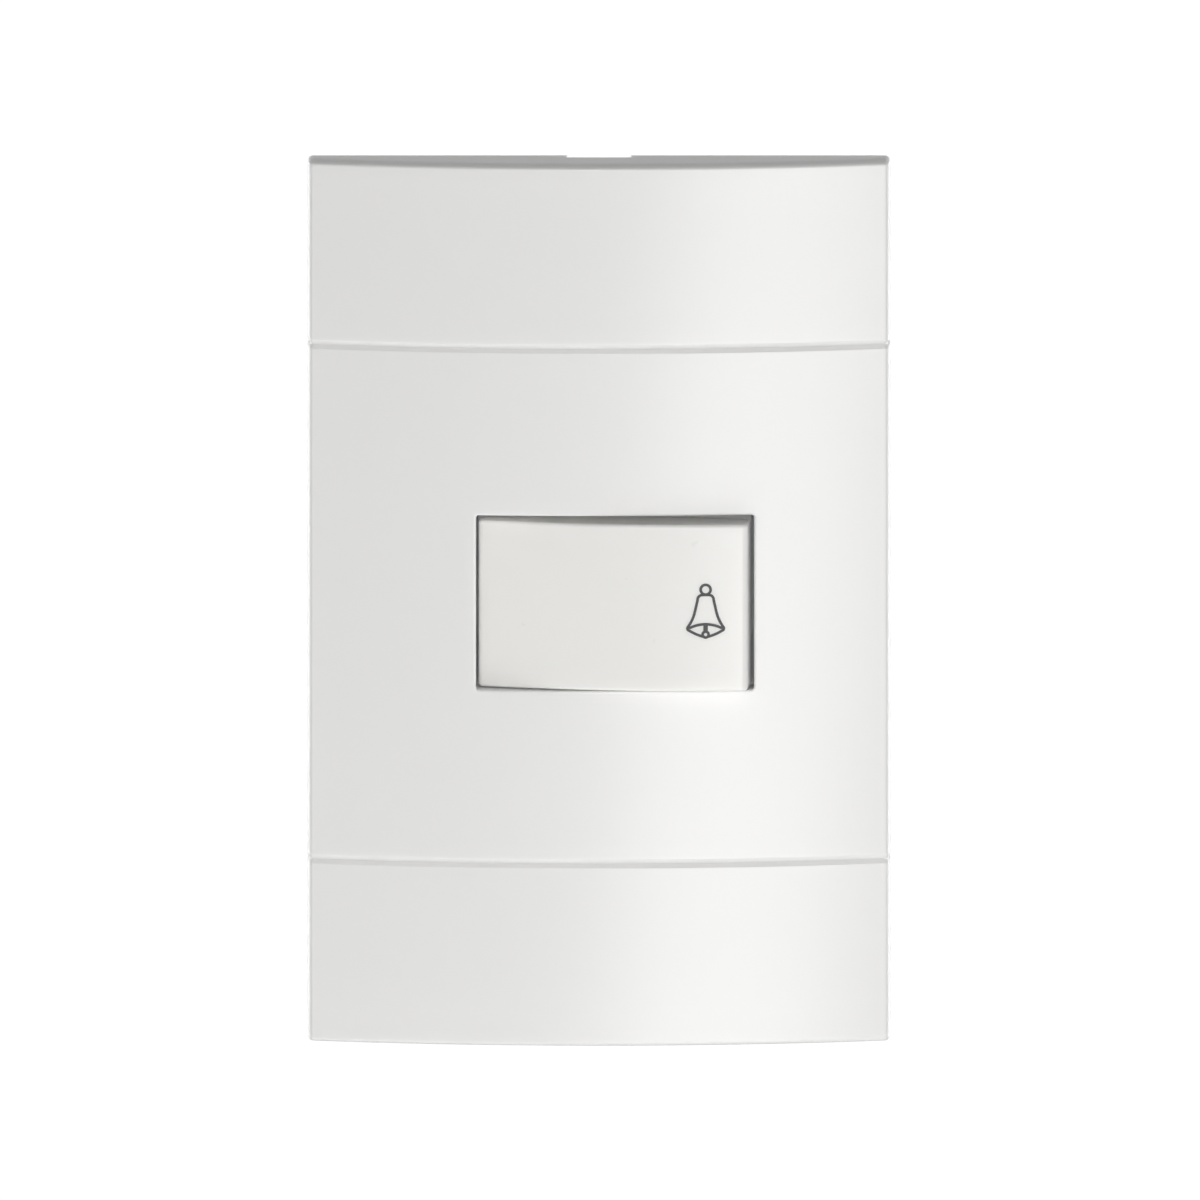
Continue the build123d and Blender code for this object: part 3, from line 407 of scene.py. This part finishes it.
# The two ribs and the four split pegs inside, let into the ceiling. Each row of a peg's tip has the
# share by which it is drawn in and its share of the tip's height.
plate_sheets = [face_sheet, ceiling_sheet, rim_sheet, inside_sheet, window_sheet]
rib_out, rib_half_length, rib_half_width, rib_edge, rib_let_in = 3.3, 30.0, 0.5, 0.2, 0.2
rib_lines = np.linspace(-29.0, 29.0, 30)
rib_core, rib_way = walk_round(
    rib_half_length - rib_edge, rib_half_width - rib_edge, rib_lines, np.zeros(1), eased_corner(3)
)
for rib_up in (-groove_up, groove_up):
    rib_flat = rib_core + (0.0, rib_up)
    plate_sheets.append(closed_bar(rib_flat, rib_way, [
        (0.0, rib_out),
        (rib_edge * 0.7, rib_out + rib_edge * 0.3),
        (rib_edge, rib_out + rib_edge),
        (rib_edge, bow(rib_flat[:, 0], plate_wall) + rib_let_in),
    ]))
peg_radius, peg_tip_out, peg_tip_taper, peg_let_in = 1.95, 0.4, 0.45, 0.4
peg_tip_rows = (0.3, 0.0), (0.12, 0.5), (0.0, 1.0)
peg_slot_half, peg_slot_end, fill_half_turn = 0.4, 2.8, 0.25
prong_turn = np.linspace(-1.0, 1.0, 25) * np.arccos(peg_slot_half / peg_radius)
prong = np.stack((np.cos(prong_turn), np.sin(prong_turn)), axis=-1) * peg_radius
fill_turn = np.linspace(-fill_half_turn, fill_half_turn, 7)
fill_end = np.stack((np.sin(fill_turn), np.cos(fill_turn)), axis=-1) * peg_radius
fill = np.concatenate((fill_end[::-1], -fill_end[::-1]))
for peg_place in ((-22.0, -50.0), (-22.0, 50.0), (22.0, -50.0), (22.0, 50.0)):
    peg_top = bow(peg_place[0], plate_wall) + peg_let_in
    for outline, low, taper in (
        (prong, peg_tip_out, peg_tip_taper),
        (-prong, peg_tip_out, peg_tip_taper),
        (fill, peg_slot_end, 0.0),
    ):
        middle = outline.mean(axis=0)
        inwards = (middle - outline) * (taper > 0)
        centre = np.tile(middle + peg_place, (len(outline), 1))
        layers = [raised(centre, low)]
        for share, rise in peg_tip_rows:
            layers.append(raised(outline + peg_place + inwards * share, low + taper * rise))
        layers += [raised(outline + peg_place, peg_top), raised(centre, peg_top)]
        plate_sheets.append(sheet(np.stack(layers), ring=True))


def round_off(tree, bump, corner):
    """Let a plain solid's sharp corners catch the light as if rounded this far."""
    softened = tree.nodes.new("ShaderNodeBevel")
    softened.inputs["Radius"].default_value = corner
    tree.links.new(softened.outputs["Normal"], bump.inputs["Normal"])


def moulded_plastic(
    name, colour, clouding, roughness, grain, grain_depth,
    depth_of_light=0.001, corner=0.0, matt_sides=0.0,
):
    """Moulded plastic: its tone clouds a little over centimetres, its gloss over millimetres, and
    the mould's surface leaves a fine grain. Each noise reads Object coordinates in metres. Matt
    sides add this much roughness where a polished face turns away from the front."""
    tone_scale, gloss_scale, gloss_spread, light_share = 60.0, 350.0, 0.05, 0.7
    facing_front, facing_aside = -0.9, -0.4
    material = bpy.data.materials.new(name)
    material.use_nodes = True
    tree = material.node_tree
    shader = tree.nodes["Principled BSDF"]
    place = tree.nodes.new("ShaderNodeTexCoord")

    def noise(scale, detail):
        """Noise of this scale per metre."""
        node = tree.nodes.new("ShaderNodeTexNoise")
        node.inputs["Scale"].default_value = scale
        node.inputs["Detail"].default_value = detail
        tree.links.new(place.outputs["Object"], node.inputs["Vector"])
        return node.outputs["Fac"]

    tone = tree.nodes.new("ShaderNodeMix")
    tone.data_type = "RGBA"
    tone.inputs["A"].default_value = (*[part * (1 - clouding) for part in colour], 1.0)
    tone.inputs["B"].default_value = (*[min(1.0, part * (1 + clouding)) for part in colour], 1.0)
    tree.links.new(noise(tone_scale, 3.0), tone.inputs["Factor"])
    tree.links.new(tone.outputs["Result"], shader.inputs["Base Color"])
    gloss = tree.nodes.new("ShaderNodeMapRange")
    gloss.inputs["To Min"].default_value = roughness * (1 - gloss_spread)
    gloss.inputs["To Max"].default_value = roughness * (1 + gloss_spread)
    tree.links.new(noise(gloss_scale, 4.0), gloss.inputs["Value"])
    dullness = gloss.outputs["Result"]
    if matt_sides:
        facing = tree.nodes.new("ShaderNodeSeparateXYZ")
        tree.links.new(place.outputs["Normal"], facing.inputs["Vector"])
        turned_away = tree.nodes.new("ShaderNodeMapRange")
        turned_away.inputs["From Min"].default_value = facing_front
        turned_away.inputs["From Max"].default_value = facing_aside
        turned_away.inputs["To Max"].default_value = matt_sides
        tree.links.new(facing.outputs["Y"], turned_away.inputs["Value"])
        total = tree.nodes.new("ShaderNodeMath")
        tree.links.new(dullness, total.inputs[0])
        tree.links.new(turned_away.outputs["Result"], total.inputs[1])
        dullness = total.outputs["Value"]
    tree.links.new(dullness, shader.inputs["Roughness"])
    shader.inputs["Subsurface Weight"].default_value = light_share if depth_of_light else 0.0
    shader.inputs["Subsurface Radius"].default_value = (1.0, 1.0, 1.0)
    shader.inputs["Subsurface Scale"].default_value = depth_of_light
    bump = tree.nodes.new("ShaderNodeBump")
    bump.inputs["Distance"].default_value = grain_depth
    tree.links.new(noise(1.0 / grain, 3.0), bump.inputs["Height"])
    if corner:
        round_off(tree, bump, corner)
    tree.links.new(bump.outputs["Normal"], shader.inputs["Normal"])
    return material


plate_white = moulded_plastic(
    "plate_white", (0.86, 0.857, 0.848), clouding=0.005, roughness=0.24,
    grain=0.0009, grain_depth=0.0000025, matt_sides=0.12,
)
push_piece(
    "plate_moulding", plate_sheets, plate_white, "cover", ["cover_plate"]
)

# Key: a wide rocker cap that tilts on the carrier behind it, left end in at rest.
# It is moulded in the plate's plastic, a little warmer, and clips over the carrier with four hooks.
key_x, key_out, key_tilt = 2.1, 4.4, radians(6.0)
key_half_length, key_half_height = 18.1, 11.3
key_face_radius, key_crown, key_end_radius, key_edge = 110.0, 4.2, 0.9, 0.45
key_base, key_base_left, key_base_right = -2.4, radians(6.0), radians(3.0)
key_inside_length, key_inside_height, key_face_wall = 16.8, 10.0, 1.4
wall_points, end_points, face_points, edge_points, flat_points = 4, 15, 61, 9, 31


def on_key(along, rise, z):
    """Points in metres from places on the key: along its face to the right, out of its face, and
    up. The key is turned by its tilt about the upright pivot axis."""
    x = key_x + along * cos(key_tilt) - rise * sin(key_tilt)
    return placed(x, key_out + rise * cos(key_tilt) + along * sin(key_tilt), z)


def key_arc(along, wall=0.0):
    """Rise of the key's face, a circle about an upright axis, drawn in by a wall's thickness."""
    radius = key_face_radius - wall
    return key_crown - wall - radius + np.sqrt(radius**2 - along**2)


def key_foot(along):
    """Rise of the key's base, a shallow V that clears the case at both ends of the travel."""
    return key_base + along * np.where(along < 0, -np.tan(key_base_left), np.tan(key_base_right))


def arc_round(middle_along, middle_rise, radius, turns):
    """Points of an arc round its middle, at these turns from straight out."""
    along = middle_along + radius * np.sin(turns)
    return np.stack((along, middle_rise + radius * np.cos(turns)), axis=-1)


# The outline seen from above: up the left wall, round its end, along the face, and down the right
# wall, with the direction that each point faces
face_middle_rise = key_crown - key_face_radius
end_middle, end_to_face = key_half_length - key_end_radius, key_face_radius - key_end_radius
end_middle_rise = face_middle_rise + np.sqrt(end_to_face**2 - end_middle**2)
face_turn = np.arcsin(end_middle / end_to_face)
left_turns = np.linspace(-pi / 2, -face_turn, end_points)
face_turns = np.linspace(-face_turn, face_turn, face_points)[1:-1]
left_wall = np.linspace(
    (-key_half_length, key_foot(-key_half_length)), (-key_half_length, end_middle_rise), wall_points
)[:-1]
right_wall = np.linspace(
    (key_half_length, end_middle_rise), (key_half_length, key_foot(key_half_length)), wall_points
)[1:]
wall_turns = np.full(wall_points - 1, pi / 2)
left_end = arc_round(-end_middle, end_middle_rise, key_end_radius, left_turns)
face_line = arc_round(0.0, face_middle_rise, key_face_radius, face_turns)
key_line = np.concatenate((left_wall, left_end, face_line, left_end[::-1] * (-1, 1), right_wall))
key_turns = np.concatenate((
    -wall_turns, left_turns, face_turns, -left_turns[::-1], wall_turns
))
key_normal = np.stack((np.sin(key_turns), np.cos(key_turns)), -1)

# The same outline is carried across the key, drawn in at both sides for the rounded edges
edge_turns = np.linspace(-pi / 2, 0, edge_points)
flat_half = key_half_height - key_edge
flat_across = np.linspace(-flat_half, flat_half, flat_points)[1:-1]
across = np.concatenate((
    -flat_half + key_edge * np.sin(edge_turns),
    flat_across,
    flat_half - key_edge * np.sin(edge_turns[::-1]),
))
drawn_in = key_edge * np.concatenate((
    1 - np.cos(edge_turns), np.zeros_like(flat_across), 1 - np.cos(edge_turns[::-1])
))
cap = key_line[None] - drawn_in[:, None, None] * key_normal[None]
cap_along, cap_rise = cap[..., 0], cap[..., 1]
cap_rise[:, (0, -1)] = key_foot(cap_along[:, (0, -1)])
key_sheets = [sheet(on_key(cap_along, cap_rise, across[:, None]))]
side_along = cap_along[0]
for edge in (0, -1):
    key_sheets.append(sheet(np.stack((
        on_key(cap_along[edge], cap_rise[edge], across[edge]),
        on_key(side_along, key_foot(side_along), across[edge]),
    ))))

# Under the cap: its foot, the inside of its walls, and the roof that follows its face
side_middle = side_along[1:-1]
loop_along = np.concatenate((
    cap_along[:, 0], side_middle, cap_along[::-1, -1], side_middle[::-1]
))
loop_z = np.concatenate((
    across, np.full_like(side_middle, across[-1]),
    across[::-1], np.full_like(side_middle, across[0]),
))
inside_along = np.clip(loop_along, -key_inside_length, key_inside_length)
inside_across = np.clip(loop_z, -key_inside_height, key_inside_height)
roof_along = np.clip(side_along, -key_inside_length, key_inside_length)
roof_z = np.clip(across, -key_inside_height, key_inside_height)
key_sheets.append(sheet(np.stack((
    on_key(loop_along, key_foot(loop_along), loop_z),
    on_key(inside_along, key_foot(inside_along), inside_across),
    on_key(inside_along, key_arc(inside_along, key_face_wall), inside_across),
)), ring=True))
key_sheets.append(sheet(on_key(roof_along, key_arc(roof_along, key_face_wall), roof_z[:, None])))
hook_line = np.array(((3.0, 8.1), (0.7, 8.1), (0.7, 7.5), (0.1, 8.1), (0.1, 8.9), (3.0, 8.9)))
hook_half_length, hook_middle_rise, hook_middle_z = 1.5, 1.5, 8.5
for hook_along in (-9.0, 9.0):
    for side in (-1, 1):
        hook_rise, hook_z = hook_line[:, 0], side * hook_line[:, 1]
        closed_rise = np.full_like(hook_rise, hook_middle_rise)
        start, end = hook_along - hook_half_length, hook_along + hook_half_length
        key_sheets.append(sheet(np.stack((
            on_key(start, closed_rise, side * hook_middle_z),
            on_key(start, hook_rise, hook_z),
            on_key(end, hook_rise, hook_z),
            on_key(end, closed_rise, side * hook_middle_z),
        )), ring=True))
key_white = moulded_plastic(
    "key_white", (0.895, 0.887, 0.863), clouding=0.005, roughness=0.28,
    grain=0.0007, grain_depth=0.0000025,
)
push_piece("key_moulding", key_sheets, key_white, "key", ["key_cap"])

# Bell mark: the common bell sign on the key's right end.
# It is dark paint in fine lines, pad printed on the key's face, so it stands a hair proud of it.
mark_along, mark_stroke, ink_height, ink_root = 12.6, 0.36, 0.008, -0.05


def unit(vector):
    """The same direction, one long."""
    return vector / np.linalg.norm(vector)


def line_to(start, end):
    """Straight line between two points."""
    return np.linspace(start, end, 12)


def arc_to(start, heading, end, count):
    """Arc that leaves its start along the heading and reaches its end. With c the chord, t the
    heading and n its left normal, the arc turns through 2 atan2(c.n, c.t) on a radius of
    c.c / (2 c.n)."""
    heading = unit(heading)
    normal = np.array((-heading[1], heading[0]))
    chord = end - start
    radius = chord @ chord / (2 * chord @ normal)
    turn = np.linspace(0, 2 * np.arctan2(chord @ normal, chord @ heading), count)[:, None]
    return start + radius * (np.sin(turn) * heading + (1 - np.cos(turn)) * normal)


def through(start, middle, end):
    """Shallow arc by three points: a parabola in the share of the way from start to end."""
    share = np.linspace(0, 1, 36)[:, None]
    start, middle, end = np.array(start), np.array(middle), np.array(end)
    return start + (end - start) * share + (middle - (start + end) / 2) * 4 * share * (1 - share)


def circle(height, radius):
    """Circle on the mark's middle line."""
    return arc_round(0.0, height, radius, np.linspace(0, 2 * pi, 49))


def ink(path, closed=False):
    """Painted line: a low domed section carried along the path, and drawn to a round end where
    it's open. The section's foot is let into the key's face."""
    half = mark_stroke / 2
    widths = np.ones(len(path))
    if not closed:
        step = pi / 12
        ease = np.arange(6) * step
        path = np.concatenate((
            path[0] + half * np.cos(ease)[:, None] * unit(path[0] - path[1]),
            path,
            path[-1] + half * np.sin(ease + step)[:, None] * unit(path[-1] - path[-2]),
        ))
        widths = np.concatenate((np.sin(ease), widths, np.cos(ease + step)))
        widths[0], widths[-1] = 0.0, 0.0
    heading = np.gradient(path, axis=0)
    if closed:
        heading[0] = heading[-1] = path[1] - path[-2]
    heading /= np.linalg.norm(heading, axis=1, keepdims=True)
    sideways = np.stack((-heading[:, 1], heading[:, 0]), axis=-1)
    section = np.array((-1.0, -1.0, -0.8, 0.0, 0.8, 1.0, 1.0))
    lift = ink_height * np.array((0.0, 0.4, 0.9, 1.0, 0.9, 0.4, 0.0))
    lift[0] = lift[-1] = ink_root
    spread = (half * widths)[:, None] * section
    flat = path[:, None] + spread[..., None] * sideways[:, None]
    along = mark_along + flat[..., 0]
    return sheet(on_key(along, key_arc(along) + lift, flat[..., 1]), ring=True)


# The ring at its top, the clapper, the crown, the mouth and the clapper's stem, and then each side
# from the crown down over shoulder, flank and flare, round the lip and along the sole
crown, crown_half, mouth, mouth_half, mouth_middle = 1.86, 0.45, -2.62, 2.1, -2.12
ring_up, ring_radius, clapper_up, clapper_radius = 2.58, 0.66, -3.52, 0.4
stem_half, stem_top, stem_end = 0.12, -2.2, -3.0
shoulder_end, flank_end, flare_end = (1.06, 1.22), (1.42, -0.4), (2.36, -2.5)
lip_end, sole_end = (2.2, -2.98), (0.36, -3.8)
flare_heading, lip_heading, sole_heading = (0.36, -1.62), (0.62, -0.78), (-0.85, -0.53)
mark_sheets = [
    ink(circle(ring_up, ring_radius), closed=True),
    ink(circle(clapper_up, clapper_radius), closed=True),
    ink(line_to((-crown_half, crown), (crown_half, crown))),
    ink(through((-mouth_half, mouth), (0.0, mouth_middle), (mouth_half, mouth))),
    ink(line_to((-stem_half, stem_top), (-stem_half, stem_end))),
    ink(line_to((stem_half, stem_top), (stem_half, stem_end))),
]
for side in (-1, 1):
    to_side = np.array((side, 1.0))
    shoulder_start, shoulder_foot = (crown_half, crown) * to_side, shoulder_end * to_side
    waist, lip, lip_foot = flank_end * to_side, flare_end * to_side, lip_end * to_side
    mark_sheets.append(ink(np.concatenate((
        arc_to(shoulder_start, (1.0, 0.0) * to_side, shoulder_foot, 14),
        line_to(shoulder_foot, waist)[1:],
        arc_to(waist, flare_heading * to_side, lip, 20)[1:],
        arc_to(lip, lip_heading * to_side, lip_foot, 14)[1:],
        arc_to(lip_foot, sole_heading * to_side, sole_end * to_side, 24)[1:],
    ))))
mark_ink = moulded_plastic(
    "mark_ink", (0.045, 0.045, 0.047), clouding=0.15, roughness=0.45,
    grain=0.00015, grain_depth=0.000004, depth_of_light=0.0,
)
push_piece("bell_sign", mark_sheets, mark_ink, "key", ["bell_mark"])

# Rocker carrier: the tilting core under the key, with its hub, two stub axles and the foot on the
# plunger. It is moulded in the key's plastic, unpolished, and the key's four hooks snap over it.
def dress(finish, *nodes):
    """Put a finish on the solids of these nodes, whose shapes stay as they are."""
    for node in nodes:
        for face_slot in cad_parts[node].material_slots:
            face_slot.material = finish


carrier_white = moulded_plastic(
    "carrier_white", (0.85, 0.845, 0.82), clouding=0.01, roughness=0.4,
    grain=0.0004, grain_depth=0.000004, corner=0.00012,
)
dress(carrier_white, "rocker_carrier")

# Mounting frame: the support behind the plate, open in the middle for the mechanism.
# It is moulded in a tough grey plastic with a spark-eroded skin, and two screws hold it to the
# wall box.
frame_grey = moulded_plastic(
    "frame_grey", (0.62, 0.63, 0.635), clouding=0.02, roughness=0.48,
    grain=0.0005, grain_depth=0.00001, corner=0.00015,
)
dress(frame_grey, "mounting_frame")

# Mechanism case and its front: the box that holds the contacts, and the front that closes it and
# carries the axle. Both are moulded in heat-proof plastic with a fine matt skin, and two screws
# join them.
case_pale = moulded_plastic(
    "case_pale", (0.8, 0.8, 0.785), clouding=0.015, roughness=0.42,
    grain=0.0006, grain_depth=0.000006, corner=0.00015,
)
dress(case_pale, "case_front", "mechanism_case")

# Plunger: the slide that carries the contact bridge back when the key's foot pushes it.
# It is moulded in natural acetal, slippery and a little waxy, and runs free in the case.
plunger_acetal = moulded_plastic(
    "plunger_acetal", (0.78, 0.76, 0.68), clouding=0.015, roughness=0.3,
    grain=0.0008, grain_depth=0.000003, corner=0.0001,
)
dress(plunger_acetal, "plunger")


# Springs: the return spring lifts the plunger and the key, and the small one presses the bridge.
# Both are coiled from bright drawn spring steel wire with closed ends, and stand loose between
# their seats.
def worked_metal(name, colour, tarnish, roughness, marks, mark_depth, corner=0.0):
    """Bare or plated metal: tarnish clouds its colour and its gloss, and fine marks of drawing,
    rolling or plating are a noise in Object coordinates, scaled per metre along x, y and z."""
    cloud_scale, brightest, dullest = 420.0, 0.7, 1.4
    material = bpy.data.materials.new(name)
    material.use_nodes = True
    tree = material.node_tree
    shader = tree.nodes["Principled BSDF"]
    shader.inputs["Metallic"].default_value = 1.0
    place = tree.nodes.new("ShaderNodeTexCoord")

    def noise(scale, detail):
        """Noise of this scale per metre along each axis."""
        stretch = tree.nodes.new("ShaderNodeMapping")
        stretch.inputs["Scale"].default_value = scale
        tree.links.new(place.outputs["Object"], stretch.inputs["Vector"])
        node = tree.nodes.new("ShaderNodeTexNoise")
        node.inputs["Scale"].default_value = 1.0
        node.inputs["Detail"].default_value = detail
        tree.links.new(stretch.outputs["Vector"], node.inputs["Vector"])
        return node.outputs["Fac"]

    cloud = noise((cloud_scale, cloud_scale, cloud_scale), 4.0)
    tone = tree.nodes.new("ShaderNodeMix")
    tone.data_type = "RGBA"
    tone.inputs["A"].default_value = (*colour, 1.0)
    tone.inputs["B"].default_value = (*tarnish, 1.0)
    tree.links.new(cloud, tone.inputs["Factor"])
    tree.links.new(tone.outputs["Result"], shader.inputs["Base Color"])
    gloss = tree.nodes.new("ShaderNodeMapRange")
    gloss.inputs["To Min"].default_value = roughness * brightest
    gloss.inputs["To Max"].default_value = roughness * dullest
    tree.links.new(cloud, gloss.inputs["Value"])
    tree.links.new(gloss.outputs["Result"], shader.inputs["Roughness"])
    bump = tree.nodes.new("ShaderNodeBump")
    bump.inputs["Distance"].default_value = mark_depth
    tree.links.new(noise(marks, 2.0), bump.inputs["Height"])
    if corner:
        round_off(tree, bump, corner)
    tree.links.new(bump.outputs["Normal"], shader.inputs["Normal"])
    return material


spring_wire = worked_metal(
    "spring_wire", (0.62, 0.62, 0.63), tarnish=(0.5, 0.5, 0.52), roughness=0.22,
    marks=(2500.0, 9000.0, 2500.0), mark_depth=0.0000008,
)
coil_x, seat_gap, closed_climb, bend = 13.155, 0.05, 1.08, 0.12


def coil(radius, wire, turns, back_out, front_out):
    """Coil spring about an axis out of the wall. The wire's middle keeps its radius and climbs a
    little more than its own thickness in the first and last turn, which close the ends, and evenly
    between them; the change of slope is averaged over a quarter turn. The wire's round section
    stands on the axis."""
    half, closed = wire / 2, wire * closed_climb
    low, high = back_out + seat_gap + half, front_out - seat_gap - half
    turned = np.linspace(0, turns, int(turns * 36) + 1)
    steps = (0, 1, turns - 1, turns), (low, low + closed, high - closed, high)
    shifts = np.linspace(-bend, bend, 9)
    climb = np.mean([np.interp(turned + shift, *steps) for shift in shifts], axis=0)
    turned = np.concatenate((turned[:1], turned, turned[-1:]))[:, None]
    climb = np.concatenate((climb[:1], climb, climb[-1:]))[:, None]
    girth = np.full_like(climb, half)
    girth[0] = girth[-1] = 0.0
    round_wire = np.linspace(0, 2 * pi, 14, endpoint=False)
    reach = radius + girth * np.cos(round_wire)
    x, z = coil_x + reach * np.cos(2 * pi * turned), reach * np.sin(2 * pi * turned)
    return sheet(placed(x, climb + girth * np.sin(round_wire), z), ring=True)


case_floor_out, plunger_base_out, press_travel = -18.0, -8.35, 1.74017
bridge_back_out, plunger_roof_out = -6.15, -2.45
return_coil = push_piece(
    "return_spring_coil",
    [coil(radius=2.05, wire=0.45, turns=7, back_out=case_floor_out, front_out=plunger_base_out)],
    spring_wire, "support", ["return_spring"],
)
push_piece(
    "contact_spring_coil",
    [coil(radius=1.15, wire=0.35, turns=4, back_out=bridge_back_out, front_out=plunger_roof_out)],
    spring_wire, "plunger", ["contact_spring"],
)
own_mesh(return_coil)

# Contact bridge and terminal strips: the current's path, from one wire terminal to the other.
# They are stamped and bent from rolled brass strip, and its rolling lines run along it.
rolled_brass = worked_metal(
    "rolled_brass", (0.83, 0.66, 0.36), tarnish=(0.72, 0.53, 0.27), roughness=0.26,
    marks=(400.0, 4000.0, 12000.0), mark_depth=0.000001, corner=0.00006,
)
dress(rolled_brass, "contact_bridge", "terminal_strip_upper", "terminal_strip_lower")

# Terminal blocks: brass blocks bored for the wire, with a thread for the clamp screw.
# They are sawn from extruded bar, so their faces carry saw lines, and they sit in pockets of the
# case.
sawn_brass = worked_metal(
    "sawn_brass", (0.8, 0.62, 0.33), tarnish=(0.66, 0.48, 0.24), roughness=0.34,
    marks=(900.0, 9000.0, 900.0), mark_depth=0.000003, corner=0.0001,
)
dress(sawn_brass, "terminal_block_upper", "terminal_block_lower")

# Contact tips: four small rivets, two under the bridge and two on the strips.
# They are silver alloy, headed cold, and riveted through the brass.
tip_silver = worked_metal(
    "tip_silver", (0.86, 0.85, 0.82), tarnish=(0.72, 0.7, 0.66), roughness=0.3,
    marks=(6000.0, 6000.0, 6000.0), mark_depth=0.000001, corner=0.00005,
)
dress(tip_silver, "moving_contact_tips", "fixed_contact_tips")

# Pressure pads: the plates that the clamp screws drive onto the wire.
# They are pressed from steel and barrel plated with zinc.
plated_zinc = worked_metal(
    "plated_zinc", (0.7, 0.71, 0.73), tarnish=(0.55, 0.56, 0.58), roughness=0.3,
    marks=(3500.0, 3500.0, 3500.0), mark_depth=0.000002, corner=0.00006,
)
dress(plated_zinc, "pressure_pad_upper", "pressure_pad_lower")

# Screws: two pan heads hold the frame to the wall box, two countersunk ones close the case, and
# two clamp the wires and turn about their own axes. They are headed cold, rolled to a thread and
# plated.
screw_columns, thread_rows, recess_wall, recess_fall = 72, 7, 0.16, 0.55
thread_flank, thread_root, thread_end = 1.3, 0.1, 0.6


def cross_recess(length, width, deep):
    """Depth of a cross recess at u, v: two arms of this length and width with sloping walls,
    deepest where they cross and a little under half as deep at their ends."""
    def depth(u, v):
        arm = np.maximum(np.abs(u) - length / 2, np.abs(v) - width / 2)
        other = np.maximum(np.abs(v) - length / 2, np.abs(u) - width / 2)
        inside = np.clip(0.5 - np.minimum(arm, other) / recess_wall, 0, 1)
        return deep * inside * (1 - recess_fall * np.hypot(u, v) / (length / 2))
    return depth


def slot_recess(width, deep):
    """Depth of a slot right across the head at u, v, with a flat floor."""
    return lambda u, v: deep * np.clip(0.5 - (np.abs(v) - width / 2) / recess_wall, 0, 1)


def screw_shell(top, heading, up, profile, recess, crest, depth, pitch, reach):
    """Screw about the axis from its head's top along the heading. The head's face sinks by the
    recess, the profile gives radius and distance from the head's edge to the thread, and the
    thread's radius is its crest less a V of this depth that climbs one pitch a turn, run out at
    both ends."""
    heading, up = np.array(heading), np.array(up)
    turn = np.linspace(0, 2 * pi, screw_columns, endpoint=False)
    start = profile[-1][1]
    distances = np.linspace(start, reach, int((reach - start) / pitch * thread_rows) + 2)[1:]
    runs_in = np.clip((distances - start) / pitch, 0, 1)[:, None]
    runs_out = np.clip((reach - distances) / pitch, 0, 1)[:, None]
    phase = ((distances - start) / pitch)[:, None] - turn / (2 * pi)
    ridge = np.clip(np.abs((phase % 1.0) * 2 - 1) * thread_flank - thread_root, 0, 1)
    thread = crest - depth + depth * (ridge * runs_in * runs_out - thread_end * (1 - runs_out))
    face_radii = np.linspace(0, profile[0][0], 25)[:-1]
    head_radii = np.concatenate((face_radii, [row[0] for row in profile]))
    radii = np.concatenate((
        np.repeat(head_radii[:, None], screw_columns, axis=1), thread, np.zeros((1, screw_columns))
    ))
    below = np.concatenate((
        np.full_like(face_radii, profile[0][1]), [row[1] for row in profile], distances, [reach]
    ))[:, None]
    u, v = radii * np.cos(turn), radii * np.sin(turn)
    below = np.maximum(below, recess(u, v) * (below < start))
    across = u[..., None] * up + v[..., None] * np.cross(heading, up)
    points = np.array(top) + across + below[..., None] * heading
    return sheet(placed(points[..., 0], points[..., 1], points[..., 2]), ring=True)


def pan_profile(radius, height, rounding, neck, neck_end, chamfer=0.1):
    """Edge of a pan head: its rounded brim, its flat bearing face and the plain neck under it."""
    turns = np.linspace(0, pi / 2, 8)
    return [
        *[(radius - rounding * (1 - sin(turn)), rounding * (1 - cos(turn))) for turn in turns],
        (radius, height - chamfer), (radius - chamfer, height),
        (neck + chamfer, height), (neck, height + chamfer), (neck, neck_end),
    ]


bright_zinc = worked_metal(
    "bright_zinc", (0.66, 0.67, 0.69), tarnish=(0.48, 0.49, 0.52), roughness=0.27,
    marks=(3000.0, 3000.0, 3000.0), mark_depth=0.000001,
)
inward, upward, rightward = (0.0, -1.0, 0.0), (0.0, 0.0, 1.0), (1.0, 0.0, 0.0)
pan_head = pan_profile(radius=3.49, height=1.9, rounding=1.1, neck=1.5, neck_end=4.5)
box_cross = cross_recess(length=3.8, width=0.9, deep=1.0)
push_piece(
    "box_screw_pair",
    [
        screw_shell(
            (0.0, 4.5, height), inward, upward, pan_head, box_cross,
            crest=1.75, depth=0.4, pitch=0.79, reach=26.5,
        )
        for height in (-41.75, 41.75)
    ],
    bright_zinc, "support", ["box_screws"],
)
countersunk_head = [(1.85, 0.0), (1.9, 0.05), (1.0, 0.95), (0.8, 1.2)]
case_cross = cross_recess(length=2.0, width=0.45, deep=0.8)
push_piece(
    "case_screw_pair",
    [
        screw_shell(
            (0.6, 1.8, height), inward, upward, countersunk_head, case_cross,
            crest=1.0, depth=0.22, pitch=0.8, reach=9.0,
        )
        for height in (-5.0, 5.0)
    ],
    bright_zinc, "support", ["case_screws"],
)
cheese_head = [(2.15, 0.0), (2.3, 0.15), (2.3, 1.1), (2.2, 1.2), (1.5, 1.2), (1.3, 1.35)]
clamp_slot = slot_recess(width=0.9, deep=0.6)
for level, height in (("upper", 5.0), ("lower", -5.0)):
    clamp_shell = screw_shell(
        (-14.2, -13.5, height), rightward, upward, cheese_head, clamp_slot,
        crest=1.5, depth=0.25, pitch=0.5, reach=4.85,
    )
    push_piece(
        f"clamp_screw_thread_{level}", [clamp_shell],
        bright_zinc, f"{level}_screw", [f"clamp_screw_{level}"],
    )
